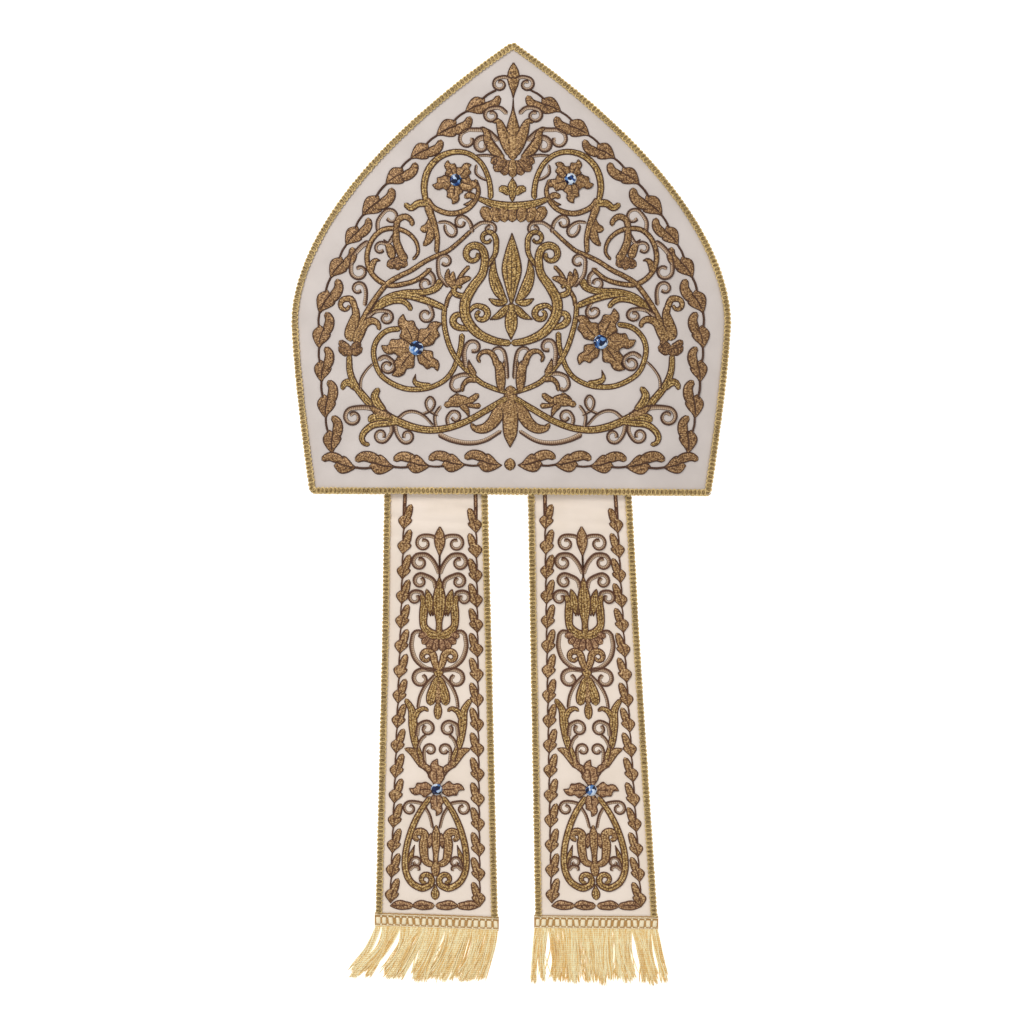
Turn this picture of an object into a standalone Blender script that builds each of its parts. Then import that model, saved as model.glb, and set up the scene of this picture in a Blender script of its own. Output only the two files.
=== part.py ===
"""A bishop's mitre laid face down on a table, with its two fringed lappets drawn out below the rim.

The panel that carries the lappets lies uppermost and bows up, so the hollow for the head stays open.
Metres. +X across the mitre, +Y towards the peaks, +Z up off the table.
"""

import math

import bmesh
import bpy
from mathutils import Vector

MM = 0.001

# Outline of a panel, measured up from the rim
PANEL_HEIGHT = 330.4 * MM
SHOULDER_HEIGHT = 127.4 * MM
SHOULDER_HALF = 160.8 * MM
RIM_HALF = 146.4 * MM
ARCH_POWER = 1.81
SIDE_POWER = 1.35

# Walls and the hollow between them
PANEL_WALL = 2.4 * MM
SEAT_GAP = 0.3 * MM
RIM_BOW = 26.0 * MM
PEAK_BOW = 19.0 * MM

# Gold braid round both panels and down the lappets
BRAID_WIDTH = 5.2 * MM
BRAID_THICKNESS = 1.8 * MM
BRAID_OVERHANG = 1.0 * MM

# Soft fold that closes the crown between the two peaks
GUSSET_WALL = 1.0 * MM
GUSSET_INSET = 7.0 * MM
GUSSET_FOLD_HEIGHT = 146.0 * MM
GUSSET_LEAST_ROOM = 1.2 * MM

# Lappets
LAPPET_LENGTH = 313.0 * MM
LAPPET_TOP_WIDTH = 74.5 * MM
LAPPET_FOOT_WIDTH = 89.0 * MM
LAPPET_WALL = 1.8 * MM
LAPPET_TUCK = 22.0 * MM
LAPPET_BRAID_TUCK = 5.0 * MM
LAPPET_RISE = 9.0 * MM
LAPPET_FALL = 125.0 * MM

# Fringe at each lappet's foot
FRINGE_HEAD = 10.4 * MM
FRINGE_HEAD_THICKNESS = 3.0 * MM
FRINGE_HEAD_OVERHANG = 1.6 * MM
FRINGE_DROP = 39.0 * MM
LOCK_THICKNESS = 2.6 * MM
LOCK_VALLEY = 1.4 * MM
LOCK_COUNT = 9
LOCK_NOTCH = 0.30

# Embroidered flowers and the cut stones at their middles
FLOWER_THICKNESS = 1.1 * MM
STONE_HEIGHT = 3.2 * MM
STONE_GIRDLE = 0.7 * MM
STONE_TABLE_SHARE = 0.50
STONE_SHOULDER_SHARE = 0.80
STONE_SIDES = 16

# How finely the surfaces are cut
PANEL_COLUMNS = 18
SIDE_ROWS = 6
ARCH_ROWS = 13
RIM_STATIONS = 22
EDGE_STATIONS = 34
GUSSET_COLUMNS = 16
LEAF_ROWS = 7
FOLD_ROWS = 5
LAPPET_COLUMNS = 6
TUCK_ROWS = 5
FALL_ROWS = 14
FLAT_ROWS = 6
STEPS_PER_LOCK = 4
LOCK_ROWS = 6
STEPS_PER_PETAL = 6
FLOWER_RINGS = 2

# Each lappet: its middle at the rim, how far its foot has swung out, and the fringe's sweep at both sides
LAPPETS = {
    "left_lappet": dict(root=-54.4 * MM, swing=1.6 * MM, sweep_low_x=-19.0 * MM, sweep_high_x=-12.0 * MM),
    "right_lappet": dict(root=51.0 * MM, swing=14.6 * MM, sweep_low_x=2.0 * MM, sweep_high_x=7.0 * MM),
}

# Each flower: where its middle is, its petals and its stone; a lappet's flower is measured down from the rim
PANEL_FLOWERS = {
    "lower_left": dict(x=-68.9 * MM, height=106.1 * MM, petals=5, tip=26.5 * MM, valley=12.0 * MM, turn=17, stone=10.6 * MM),
    "lower_right": dict(x=65.2 * MM, height=111.2 * MM, petals=5, tip=26.5 * MM, valley=12.0 * MM, turn=-17, stone=10.6 * MM),
    "upper_left": dict(x=-40.9 * MM, height=229.4 * MM, petals=5, tip=16.5 * MM, valley=7.6 * MM, turn=22, stone=8.8 * MM),
    "upper_right": dict(x=42.6 * MM, height=230.6 * MM, petals=5, tip=16.5 * MM, valley=7.6 * MM, turn=-22, stone=8.8 * MM),
}
LAPPET_FLOWER = dict(drop=219.6 * MM, petals=4, tip=20.0 * MM, valley=7.4 * MM, turn=0, stone=8.6 * MM)

# What follows from them: the table is z = 0, and the whole length is centred on y = 0
LOWER_FACE = BRAID_THICKNESS + SEAT_GAP
LOWER_INNER = LOWER_FACE + PANEL_WALL
UPPER_INNER = LOWER_INNER + SEAT_GAP
LAPPET_END = LAPPET_LENGTH + SEAT_GAP
FRINGE_END = LAPPET_END + FRINGE_HEAD + FRINGE_DROP


def half_width(height):
    """Half the panel's width at a height above the rim."""
    if height <= SHOULDER_HEIGHT:
        below = (SHOULDER_HEIGHT - height) / SHOULDER_HEIGHT
        return SHOULDER_HALF - (SHOULDER_HALF - RIM_HALF) * below**SIDE_POWER
    above = (height - SHOULDER_HEIGHT) / (PANEL_HEIGHT - SHOULDER_HEIGHT)
    return SHOULDER_HALF * (1 - min(above, 1.0) ** ARCH_POWER)


def bow(x, height):
    """How far the upper panel stands off its own edge; below the shoulders it comes down to both sides."""
    reach = half_width(height) if height < SHOULDER_HEIGHT else SHOULDER_HALF
    crest = RIM_BOW + (PEAK_BOW - RIM_BOW) * height / PANEL_HEIGHT
    return crest * (1 - (x / reach) ** 2)


def smooth(share):
    share = min(max(share, 0.0), 1.0)
    return share * share * (3 - 2 * share)


def between(low, high, share):
    return low + (high - low) * share


def arch_tip():
    """How far the braid's outer corner stands above the panel's peak."""
    slope = SHOULDER_HALF * ARCH_POWER / (PANEL_HEIGHT - SHOULDER_HEIGHT)
    return BRAID_OVERHANG * math.hypot(1, slope) / slope


RIM_Y = (FRINGE_END - PANEL_HEIGHT - arch_tip()) / 2


def upper_point(x, height, lift=0.0):
    """A point of the upper panel's inner face, lifted off it square to the face."""
    step = 0.5 * MM
    slope_x = (bow(x + step, height) - bow(x - step, height)) / (2 * step)
    slope_y = (bow(x, height + step) - bow(x, height - step)) / (2 * step)
    normal = Vector((-slope_x, -slope_y, 1)).normalized()
    return Vector((x, RIM_Y + height, UPPER_INNER + bow(x, height))) + normal * lift


def lower_point(x, height, lift=0.0):
    """A point of the lower panel's inner face, lifted towards the table."""
    return Vector((x, RIM_Y + height, LOWER_INNER - lift))


def material(name, colour, roughness, metallic=0.0):
    made = bpy.data.materials.new(name)
    made.use_nodes = True
    shader = made.node_tree.nodes["Principled BSDF"]
    shader.inputs["Base Color"].default_value = (*colour, 1.0)
    shader.inputs["Roughness"].default_value = roughness
    shader.inputs["Metallic"].default_value = metallic
    return made


def add_object(name, mesh, finish, collection):
    made = bpy.data.objects.new(name, mesh)
    collection.objects.link(made)
    made.data.materials.append(finish)
    made.data.shade_smooth()
    made.data.set_sharp_from_angle(angle=math.radians(40))
    return made


def grid_mesh(name, columns, rows, place):
    """A grid whose vertices go where place(column share, row share) says; vertices that meet are welded."""
    sheet = bmesh.new()
    bmesh.ops.create_grid(sheet, x_segments=columns, y_segments=rows, size=1)
    for vertex in sheet.verts:
        across = round((vertex.co.x + 1) / 2 * columns) / columns
        along = round((vertex.co.y + 1) / 2 * rows) / rows
        vertex.co = place(across, along)
    bmesh.ops.remove_doubles(sheet, verts=sheet.verts, dist=0.01 * MM)
    mesh = bpy.data.meshes.new(name)
    sheet.to_mesh(mesh)
    sheet.free()
    return mesh


def shell(name, mesh, thickness, finish, collection):
    """A wall grown from an open surface, on the side that its faces look to."""
    made = add_object(name, mesh, finish, collection)
    wall = made.modifiers.new("Wall", "SOLIDIFY")
    wall.thickness = thickness
    wall.offset = 1
    wall.use_even_offset = True
    return made


def panel_height_at(share):
    """Rows are closer together round the arch than down the sides."""
    side_share = SIDE_ROWS / (SIDE_ROWS + ARCH_ROWS)
    if share <= side_share:
        return SHOULDER_HEIGHT * share / side_share
    return between(SHOULDER_HEIGHT, PANEL_HEIGHT, (share - side_share) / (1 - side_share))


def make_upper_panel(finish, collection):
    def place(across, along):
        height = panel_height_at(along)
        return upper_point((2 * across - 1) * half_width(height), height)

    mesh = grid_mesh("back_panel", PANEL_COLUMNS, SIDE_ROWS + ARCH_ROWS, place)
    return shell("back_panel", mesh, PANEL_WALL, finish, collection)


def make_lower_panel(finish, collection):
    def place(across, along):
        height = panel_height_at(along)
        return lower_point((1 - 2 * across) * half_width(height), height)

    mesh = grid_mesh("front_panel", 2, SIDE_ROWS + ARCH_ROWS, place)
    return shell("front_panel", mesh, PANEL_WALL, finish, collection)


def even_stations(edge, count):
    """Points spaced evenly along a finely sampled line, both ends kept."""
    lengths = [0.0]
    for first, second in zip(edge, edge[1:]):
        lengths.append(lengths[-1] + math.dist(first, second))
    stations = []
    piece = 0
    for number in range(count + 1):
        target = lengths[-1] * number / count
        while piece < len(edge) - 2 and lengths[piece + 1] < target:
            piece += 1
        share = (target - lengths[piece]) / (lengths[piece + 1] - lengths[piece])
        stations.append(tuple(between(a, b, share) for a, b in zip(edge[piece], edge[piece + 1])))
    return stations


def outline():
    """The panel's outline once round, from the rim's left corner, as (x, height)."""
    fine = 400
    heights = [PANEL_HEIGHT * number / fine for number in range(fine + 1)]
    right = even_stations([(half_width(height), height) for height in heights], EDGE_STATIONS)
    left = [(-x, height) for x, height in reversed(right)]
    rim = even_stations([(-RIM_HALF, 0.0), (RIM_HALF, 0.0)], RIM_STATIONS)
    return rim[:-1] + right[:-1] + left[:-1]


def offset_outline(distance):
    """The outline moved outwards, with its corners kept sharp."""
    points = outline()
    moved = []
    for number, here in enumerate(points):
        before = points[number - 1]
        after = points[(number + 1) % len(points)]
        arriving = (Vector(here) - Vector(before)).normalized()
        leaving = (Vector(after) - Vector(here)).normalized()
        outward = Vector((arriving.y + leaving.y, -arriving.x - leaving.x)).normalized()
        reach = distance / outward.dot(Vector((arriving.y, -arriving.x)))
        moved.append((here[0] + outward.x * reach, here[1] + outward.y * reach))
    return moved


def make_panel_braid(name, point, finish, collection, mirrored):
    outer = offset_outline(BRAID_OVERHANG)
    inner = offset_outline(BRAID_OVERHANG - BRAID_WIDTH)
    count = len(outer)

    def place(across, along):
        station = round(along * count) % count
        side = across if mirrored else 1 - across
        x, height = (outer, inner)[round(side)][station]
        return point(x, height, PANEL_WALL + SEAT_GAP)

    mesh = grid_mesh(name, 1, count, place)
    return shell(name, mesh, BRAID_THICKNESS, finish, collection)


def gusset_room(x, height):
    """The clear depth between the two panels' inner faces."""
    return UPPER_INNER - LOWER_INNER + bow(x, height)


def gusset_half(height):
    """The fold keeps inside the arch, and stops where the panels come too close together."""
    lining = 2 * (GUSSET_WALL + SEAT_GAP) + GUSSET_LEAST_ROOM
    crest = gusset_room(0, height)
    pinch = SHOULDER_HALF * math.sqrt(max(1 - lining / crest, 0))
    return min(half_width(height) - GUSSET_INSET, pinch)


def make_gusset(finish, collection):
    """Two leaves against the inner faces of the peaks, joined by a round fold across the shoulders."""
    rows = 2 * LEAF_ROWS + FOLD_ROWS
    top = PANEL_HEIGHT - GUSSET_INSET - 2 * PANEL_WALL
    while gusset_half(top) < GUSSET_INSET / 2:
        top -= MM

    def place(across, along):
        row = round(along * rows)
        on_lower = row <= LEAF_ROWS
        leaf_row = min(row, rows - row, LEAF_ROWS)
        height = between(top, GUSSET_FOLD_HEIGHT, leaf_row / LEAF_ROWS)
        x = (1 - 2 * across) * gusset_half(height)
        low = lower_point(x, height, -SEAT_GAP)
        high = upper_point(x, height, -SEAT_GAP)
        if leaf_row < LEAF_ROWS or row in (LEAF_ROWS, rows - LEAF_ROWS):
            return low if on_lower else high
        turn = math.pi * (row - LEAF_ROWS) / FOLD_ROWS
        radius = (high.z - low.z) / 2
        return Vector((x, low.y - radius * math.sin(turn), low.z + radius * (1 - math.cos(turn))))

    mesh = grid_mesh("crown_gusset", GUSSET_COLUMNS, rows, place)
    return shell("crown_gusset", mesh, GUSSET_WALL, finish, collection)


def lappet_top(x, drop):
    """Height of a lappet's upper face: tucked up inside the rim, then falling to the table."""
    under = UPPER_INNER + bow(x, max(-drop, 0.0))
    room = between(SEAT_GAP, 2 * SEAT_GAP + BRAID_THICKNESS, smooth((drop + LAPPET_BRAID_TUCK + LAPPET_RISE) / LAPPET_RISE))
    fall = smooth(drop / LAPPET_FALL)
    return between(under - room, LAPPET_WALL, fall)


def lappet_middle(lappet, drop):
    return lappet["root"] + lappet["swing"] * drop / LAPPET_LENGTH


def lappet_half(drop):
    return between(LAPPET_TOP_WIDTH, LAPPET_FOOT_WIDTH, drop / LAPPET_LENGTH) / 2


def lappet_point(lappet, side, drop, lift=0.0, out=0.0):
    """A point of a lappet's upper face; side runs from -1 to 1, out is a distance past that side."""
    x = lappet_middle(lappet, drop) + side * lappet_half(drop) + out
    step = 0.5 * MM
    slope_x = (lappet_top(x + step, drop) - lappet_top(x - step, drop)) / (2 * step)
    slope_y = (lappet_top(x, drop - step) - lappet_top(x, drop + step)) / (2 * step)
    normal = Vector((-slope_x, -slope_y, 1)).normalized()
    return Vector((x, RIM_Y - drop, lappet_top(x, drop))) + normal * lift


def lappet_drops(first):
    """How far below the rim each row of a lappet lies, from the first one given down to its foot."""
    tuck = [between(-LAPPET_TUCK, 0.0, row / TUCK_ROWS) for row in range(TUCK_ROWS)]
    fall = [between(0.0, LAPPET_FALL, row / FALL_ROWS) for row in range(FALL_ROWS)]
    flat = [between(LAPPET_FALL, LAPPET_LENGTH, row / FLAT_ROWS) for row in range(FLAT_ROWS + 1)]
    return [first] + [drop for drop in tuck + fall + flat if drop > first + MM]


def make_lappet(name, lappet, finish, collection):
    drops = lappet_drops(-LAPPET_TUCK)
    rows = len(drops) - 1

    def place(across, along):
        return lappet_point(lappet, 1 - 2 * across, drops[round((1 - along) * rows)])

    mesh = grid_mesh(name, LAPPET_COLUMNS, rows, place)
    return shell(name, mesh, LAPPET_WALL, finish, collection)


def make_lappet_braid(name, lappet, side, finish, collection):
    drops = lappet_drops(-LAPPET_BRAID_TUCK)
    rows = len(drops) - 1

    def place(across, along):
        inward = between(BRAID_OVERHANG - BRAID_WIDTH, BRAID_OVERHANG, across if side > 0 else 1 - across)
        return lappet_point(lappet, side, drops[round((1 - along) * rows)], SEAT_GAP, side * inward)

    mesh = grid_mesh(name, 1, rows, place)
    return shell(name, mesh, BRAID_THICKNESS, finish, collection)


def fringe_rows():
    """Distance below the lappet's end for each row: the woven head, then the locks."""
    head = [0.0, 0.08, 0.92, 1.0]
    return [FRINGE_HEAD * share for share in head] + [
        FRINGE_HEAD + FRINGE_DROP * row / LOCK_ROWS for row in range(1, LOCK_ROWS + 1)
    ]


def make_fringe(name, lappet, finish, collection):
    """A woven head with a row of thread locks below it, fused to it, all lying on the table."""
    rows = fringe_rows()
    columns = LOCK_COUNT * STEPS_PER_LOCK
    half = lappet_half(LAPPET_LENGTH) + FRINGE_HEAD_OVERHANG
    middle = lappet_middle(lappet, LAPPET_LENGTH)

    def place(across, along):
        row = round(along * (len(rows) - 1))
        swell = abs(math.sin(math.pi * LOCK_COUNT * across))
        down = max(rows[row] - FRINGE_HEAD, 0.0) / FRINGE_DROP
        tip = 1 - LOCK_NOTCH * (1 - swell) * smooth(down)
        sweep = between(lappet["sweep_low_x"], lappet["sweep_high_x"], across) * smooth(down)
        if row == 0 or row > 2:
            height = between(LOCK_VALLEY, LOCK_THICKNESS, swell)
        else:
            height = FRINGE_HEAD_THICKNESS
        drop = min(rows[row], FRINGE_HEAD) + down * tip * FRINGE_DROP
        return Vector((middle + (2 * across - 1) * half + sweep, RIM_Y - LAPPET_END - drop, height))

    locks = bmesh.new()
    locks.from_mesh(grid_mesh(name, columns, len(rows) - 1, place))
    grown = bmesh.ops.extrude_face_region(locks, geom=locks.faces[:])
    for part in grown["geom"]:
        if isinstance(part, bmesh.types.BMVert):
            part.co.z = 0.0
    bmesh.ops.recalc_face_normals(locks, faces=locks.faces)
    mesh = bpy.data.meshes.new(name)
    locks.to_mesh(mesh)
    locks.free()
    return add_object(name, mesh, finish, collection)


def make_flower(name, flower, point, finish, collection):
    """A raised pad with pointed petals; point(x offset, y offset, lift) lays it on the cloth."""
    columns = flower["petals"] * STEPS_PER_PETAL

    def place(across, along):
        angle = math.radians(90 + flower["turn"]) - 2 * math.pi * across
        petal = abs(math.cos(math.pi * flower["petals"] * across))
        radius = between(flower["valley"], flower["tip"], petal**1.6) * along
        return point(radius * math.cos(angle), radius * math.sin(angle), SEAT_GAP)

    mesh = grid_mesh(name, columns, FLOWER_RINGS, place)
    return shell(name, mesh, FLOWER_THICKNESS, finish, collection)


def make_stone(name, flower, point, finish, collection):
    """A flat-backed cut stone: girdle, eight lower and eight upper facets, and a table."""
    radius = flower["stone"] / 2
    shoulder = between(STONE_GIRDLE, STONE_HEIGHT, 0.62)
    rings = [
        (STONE_SIDES, radius, 0.0, 0),
        (STONE_SIDES, radius, STONE_GIRDLE, 0),
        (STONE_SIDES // 2, radius * STONE_SHOULDER_SHARE, shoulder, 0.5),
        (STONE_SIDES // 2, radius * STONE_TABLE_SHARE, STONE_HEIGHT, 0),
    ]
    base = point(0, 0, 2 * SEAT_GAP + FLOWER_THICKNESS)
    ahead = (point(MM, 0, 0) - point(-MM, 0, 0)).normalized()
    up = (point(0, 0, MM) - point(0, 0, 0)).normalized()
    beside = up.cross(ahead)
    gem = bmesh.new()
    for sides, reach, height, turn in rings:
        for number in range(sides):
            angle = 2 * math.pi * (number + turn) / sides
            spot = ahead * reach * math.cos(angle) + beside * reach * math.sin(angle) + up * height
            gem.verts.new(base + spot)
    bmesh.ops.convex_hull(gem, input=gem.verts)
    bmesh.ops.recalc_face_normals(gem, faces=gem.faces)
    mesh = bpy.data.meshes.new(name)
    gem.to_mesh(mesh)
    gem.free()
    made = add_object(name, mesh, finish, collection)
    made.data.shade_flat()
    return made


def decorate(name, flower, point, finishes, collection):
    make_flower("flower_" + name, flower, point, finishes["gold_thread"], collection)
    make_stone("stone_" + name, flower, point, finishes["sapphire_glass"], collection)


def main():
    for old in list(bpy.data.objects):
        bpy.data.objects.remove(old)
    collection = bpy.data.collections.new("bishop_mitre")
    bpy.context.scene.collection.children.link(collection)
    finishes = {
        "cream_cloth": material("cream_cloth", (0.72, 0.66, 0.60), 0.75),
        "lining_cloth": material("lining_cloth", (0.74, 0.68, 0.56), 0.6),
        "gold_braid": material("gold_braid", (0.62, 0.47, 0.20), 0.45, 0.4),
        "gold_thread": material("gold_thread", (0.38, 0.25, 0.10), 0.5, 0.4),
        "gold_fringe": material("gold_fringe", (0.78, 0.56, 0.24), 0.5),
        "sapphire_glass": material("sapphire_glass", (0.05, 0.13, 0.50), 0.05),
    }
    make_upper_panel(finishes["cream_cloth"], collection)
    make_lower_panel(finishes["cream_cloth"], collection)
    make_panel_braid("back_braid", upper_point, finishes["gold_braid"], collection, mirrored=False)
    make_panel_braid("front_braid", lower_point, finishes["gold_braid"], collection, mirrored=True)
    make_gusset(finishes["lining_cloth"], collection)
    for name, flower in PANEL_FLOWERS.items():

        def on_panel(right, up, lift, flower=flower):
            return upper_point(flower["x"] + right, flower["height"] + up, PANEL_WALL + lift)

        decorate(name, flower, on_panel, finishes, collection)
    for name, lappet in LAPPETS.items():

        def on_lappet(right, up, lift, lappet=lappet):
            drop = LAPPET_FLOWER["drop"] - up
            side = right / lappet_half(drop)
            return lappet_point(lappet, side, drop, lift)

        make_lappet(name, lappet, finishes["cream_cloth"], collection)
        make_lappet_braid(name + "_braid_left", lappet, -1, finishes["gold_braid"], collection)
        make_lappet_braid(name + "_braid_right", lappet, 1, finishes["gold_braid"], collection)
        make_fringe(name.replace("lappet", "fringe"), lappet, finishes["gold_fringe"], collection)
        decorate(name, LAPPET_FLOWER, on_lappet, finishes, collection)


main()
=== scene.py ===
# A bishop's mitre lying on a pale table, seen straight down, with its lappets drawn out below the rim.
import math
import random

import bmesh
import bpy
import numpy as np
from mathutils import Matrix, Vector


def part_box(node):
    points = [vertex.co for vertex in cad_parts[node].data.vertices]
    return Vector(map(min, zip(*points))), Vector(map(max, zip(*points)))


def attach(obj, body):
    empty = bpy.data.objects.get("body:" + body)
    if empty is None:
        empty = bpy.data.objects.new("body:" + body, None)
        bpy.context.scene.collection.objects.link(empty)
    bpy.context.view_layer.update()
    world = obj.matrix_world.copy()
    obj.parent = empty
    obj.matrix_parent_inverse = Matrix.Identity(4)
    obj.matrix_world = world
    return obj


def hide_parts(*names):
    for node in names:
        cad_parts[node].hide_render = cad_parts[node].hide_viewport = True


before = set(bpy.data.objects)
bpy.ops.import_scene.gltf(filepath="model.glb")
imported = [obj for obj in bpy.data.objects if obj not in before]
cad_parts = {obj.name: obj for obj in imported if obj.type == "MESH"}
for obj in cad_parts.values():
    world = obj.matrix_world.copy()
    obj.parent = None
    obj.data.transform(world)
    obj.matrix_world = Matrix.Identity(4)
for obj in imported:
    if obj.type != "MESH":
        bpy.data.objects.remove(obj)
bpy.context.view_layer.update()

mm = 0.001
random.seed(7)
print("frame loaded")


# Colours and nodes

def fromHex(text):
    # sRGB hex to the linear values that the shaders take
    channels = [int(text[i:i + 2], 16) / 255 for i in (0, 2, 4)]
    return (*[c / 12.92 if c <= 0.04045 else ((c + 0.055) / 1.055) ** 2.4 for c in channels], 1.0)


def addNode(tree, kind, inputs, out=0, stops=(), **settings):
    # one node with its settings, and what goes into its sockets: another node's socket or a plain value;
    # stops are a ramp's (place, hex colour) pairs. What comes back is the node's output
    node = tree.nodes.new(kind)
    for name, value in settings.items():
        setattr(node, name, value)
    for socket, source in inputs.items():
        if isinstance(source, bpy.types.NodeSocket):
            tree.links.new(source, node.inputs[socket])
        else:
            node.inputs[socket].default_value = source
    for number, (place, colour) in enumerate(stops):
        elements = node.color_ramp.elements
        element = elements[number] if number < 2 else elements.new(place)
        element.position, element.color = place, fromHex(colour)
    return node.outputs[out]


def startMaterial(name, roughness, **sockets):
    made = bpy.data.materials.new(name)
    made.use_nodes = True
    shader = made.node_tree.nodes["Principled BSDF"]
    shader.inputs["Roughness"].default_value = roughness
    for socket, value in sockets.items():
        shader.inputs[socket.replace("_", " ")].default_value = value
    return made, made.node_tree, shader


def stitchParts(tree):
    # what each stitched mesh carries: its place across, the mm along, and a tone or a chance value
    carried = addNode(tree, "ShaderNodeAttribute", {}, "Vector", attribute_name="stitch")
    split = addNode(tree, "ShaderNodeSeparateXYZ", {0: carried}).node
    return split.outputs["X"], split.outputs["Y"], split.outputs["Z"]


def work(tree, operation, *values):
    # one sum on sockets and plain values
    return addNode(tree, "ShaderNodeMath", dict(enumerate(values)), operation=operation)


def noise(tree, scale, detail):
    where = addNode(tree, "ShaderNodeTexCoord", {}, "Object")
    return addNode(tree, "ShaderNodeTexNoise", {"Vector": where, "Scale": scale, "Detail": detail}, "Fac")


def finishShader(tree, shader, colour, height, strength, depth):
    # the height becomes a bump, depth mm deep
    sockets = {"Height": height, "Strength": strength, "Distance": depth * mm}
    bump = addNode(tree, "ShaderNodeBump", sockets, "Normal")
    tree.links.new(colour, shader.inputs["Base Color"])
    tree.links.new(bump, shader.inputs["Normal"])


silkCut = dict(wave=0.314, clouds=38.0, puckers=160.0, weaveShare=0.25, weaveHeight=0.35)


def silkCloth(name, light, shade, pitch):
    # fine ribbed silk: a soft matt ground with faint cloudiness, its ribs just visible close up
    s = silkCut
    made, tree, shader = startMaterial(name, 0.62, Sheen_Weight=0.12, Sheen_Roughness=0.4)
    where = addNode(tree, "ShaderNodeTexCoord", {}, "Object")
    # plain weave: two sets of ribs at right angles, the pitch is one thread
    waves = {"Vector": where, "Scale": s["wave"] / (pitch * mm), "Distortion": 0.6, "Detail": 1.0,
             "Detail Scale": 1.5}
    ribs = [addNode(tree, "ShaderNodeTexWave", waves, "Fac", bands_direction=way) for way in ("X", "Y")]
    weave = work(tree, "MULTIPLY", *ribs)
    # the weave also tints the colour, lighter on its ribs and darker between them: painted shade in the
    # weave's grooves
    mixed = addNode(tree, "ShaderNodeMix", {0: s["weaveShare"], 2: noise(tree, s["clouds"], 3.0), 3: weave})
    colour = addNode(tree, "ShaderNodeValToRGB", {"Fac": mixed}, "Color", [(0.3, shade), (0.62, light)])
    height = work(tree, "MULTIPLY_ADD", weave, s["weaveHeight"], noise(tree, s["puckers"], 2.0))
    finishShader(tree, shader, colour, height, 0.35, 0.3)
    return made


# turns are mm apart; the rest is how strongly the painted glints of noise and turns and the painted shade in
# the seams work on the tone, and the least seam
passingCut = dict(turn=1.3, slant=0.55, glintSpecks=850.0, glintGain=2.6, glintBase=-0.78, turnGain=0.14,
                  seam=-0.6, seamWidth=0.7, leastSeam=0.25)


def metalThread(name, gold, brown):
    # passing thread, gilt strip wound on a silk core and couched down: it glints in short slanting stitches,
    # painted highlights in its colour;
    # the thread is 0.4 mm, and its turns are drawn further apart so that they show
    p = passingCut
    made, tree, shader = startMaterial(name, 0.45, Metallic=0.3)
    across, along, tone = stitchParts(tree)
    slant = work(tree, "MULTIPLY_ADD", across, p["slant"], along)
    twist = work(tree, "SINE", work(tree, "MULTIPLY", slant, 2 * math.pi / p["turn"]))
    # painted glints: noise and the thread's turns make its colour lighter and darker, as highlights and the
    # shade between them
    glint = work(tree, "MULTIPLY_ADD", noise(tree, p["glintSpecks"], 2.0), p["glintGain"], p["glintBase"])
    glint = work(tree, "MULTIPLY_ADD", twist, p["turnGain"], glint)
    # the seams between rows of thread lie in shade, across counts the rows
    row = work(tree, "ABSOLUTE", work(tree, "SINE", work(tree, "MULTIPLY", across, math.pi)))
    seam = addNode(tree, "ShaderNodeMapRange", {0: row, 1: 0.05, 2: p["seamWidth"], 3: p["seam"], 4: 0.0})
    shaded = work(tree, "MULTIPLY_ADD", seam, work(tree, "MAXIMUM", tone, p["leastSeam"]), glint)
    # a tone below 0 is darker still than the brown
    shaded = work(tree, "ADD", shaded, work(tree, "MINIMUM", tone, 0.0))
    colours = [addNode(tree, "ShaderNodeValToRGB", {"Fac": shaded}, "Color", zip((0.0, 0.5, 1.0), three))
               for three in (brown, gold)]
    blend = addNode(tree, "ShaderNodeMix", {0: tone, 6: colours[0], 7: colours[1]}, 2, data_type="RGBA")
    finishShader(tree, shader, blend, shaded, 0.6, 0.3)
    return made


satinCut = dict(stitch=1.5, acrossGain=-0.45, middle=0.5, stitchGain=0.18)


def satinThread(name, stops):
    # silk worked in satin stitch across the tendrils: pale at the inside of a curl and brown at its outside;
    # the stitches are 0.4 mm, and are drawn further apart so that they show
    s = satinCut
    made, tree, shader = startMaterial(name, 0.5, Sheen_Weight=0.1)
    across, along = stitchParts(tree)[:2]
    # the stitches show as stripes across the tendril: painted light on each stitch and painted shade between
    # them
    comb = work(tree, "SINE", work(tree, "MULTIPLY", along, 2 * math.pi / s["stitch"]))
    side = work(tree, "MULTIPLY_ADD", across, s["acrossGain"], s["middle"])
    level = work(tree, "MULTIPLY_ADD", comb, s["stitchGain"], side)
    colour = addNode(tree, "ShaderNodeValToRGB", {"Fac": level}, "Color", stops)
    finishShader(tree, shader, colour, comb, 0.5, 0.15)
    return made


def twistedCord(name, dark, light, turn=1.4, roughness=0.6, metallic=0.0, ribs=0.22, spread=0.35, glow=0.0):
    # plied cord: painted shade darkens the grooves between its plies, which climb one turn every few mm; ribs
    # is how dark that shade is, spread how far the strands differ, and glow is painted light, the table's
    # light shining through them
    made, tree, shader = startMaterial(name, roughness, Metallic=metallic, Emission_Color=fromHex(light),
                                       Emission_Strength=glow)
    across, along, chance = stitchParts(tree)
    ply = work(tree, "SINE", work(tree, "MULTIPLY_ADD", along, 2 * math.pi / turn, across))
    ground = work(tree, "MULTIPLY_ADD", noise(tree, 600.0, 2.0), 0.7, 0.15 - spread / 2)
    # painted shade in the grooves between the plies
    level = work(tree, "MULTIPLY_ADD", ply, ribs, ground)
    level = work(tree, "MULTIPLY_ADD", chance, spread, level)
    colour = addNode(tree, "ShaderNodeValToRGB", {"Fac": level}, "Color", [(0.1, dark), (0.9, light)])
    finishShader(tree, shader, colour, ply, 0.5, 0.15)
    return made


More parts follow.
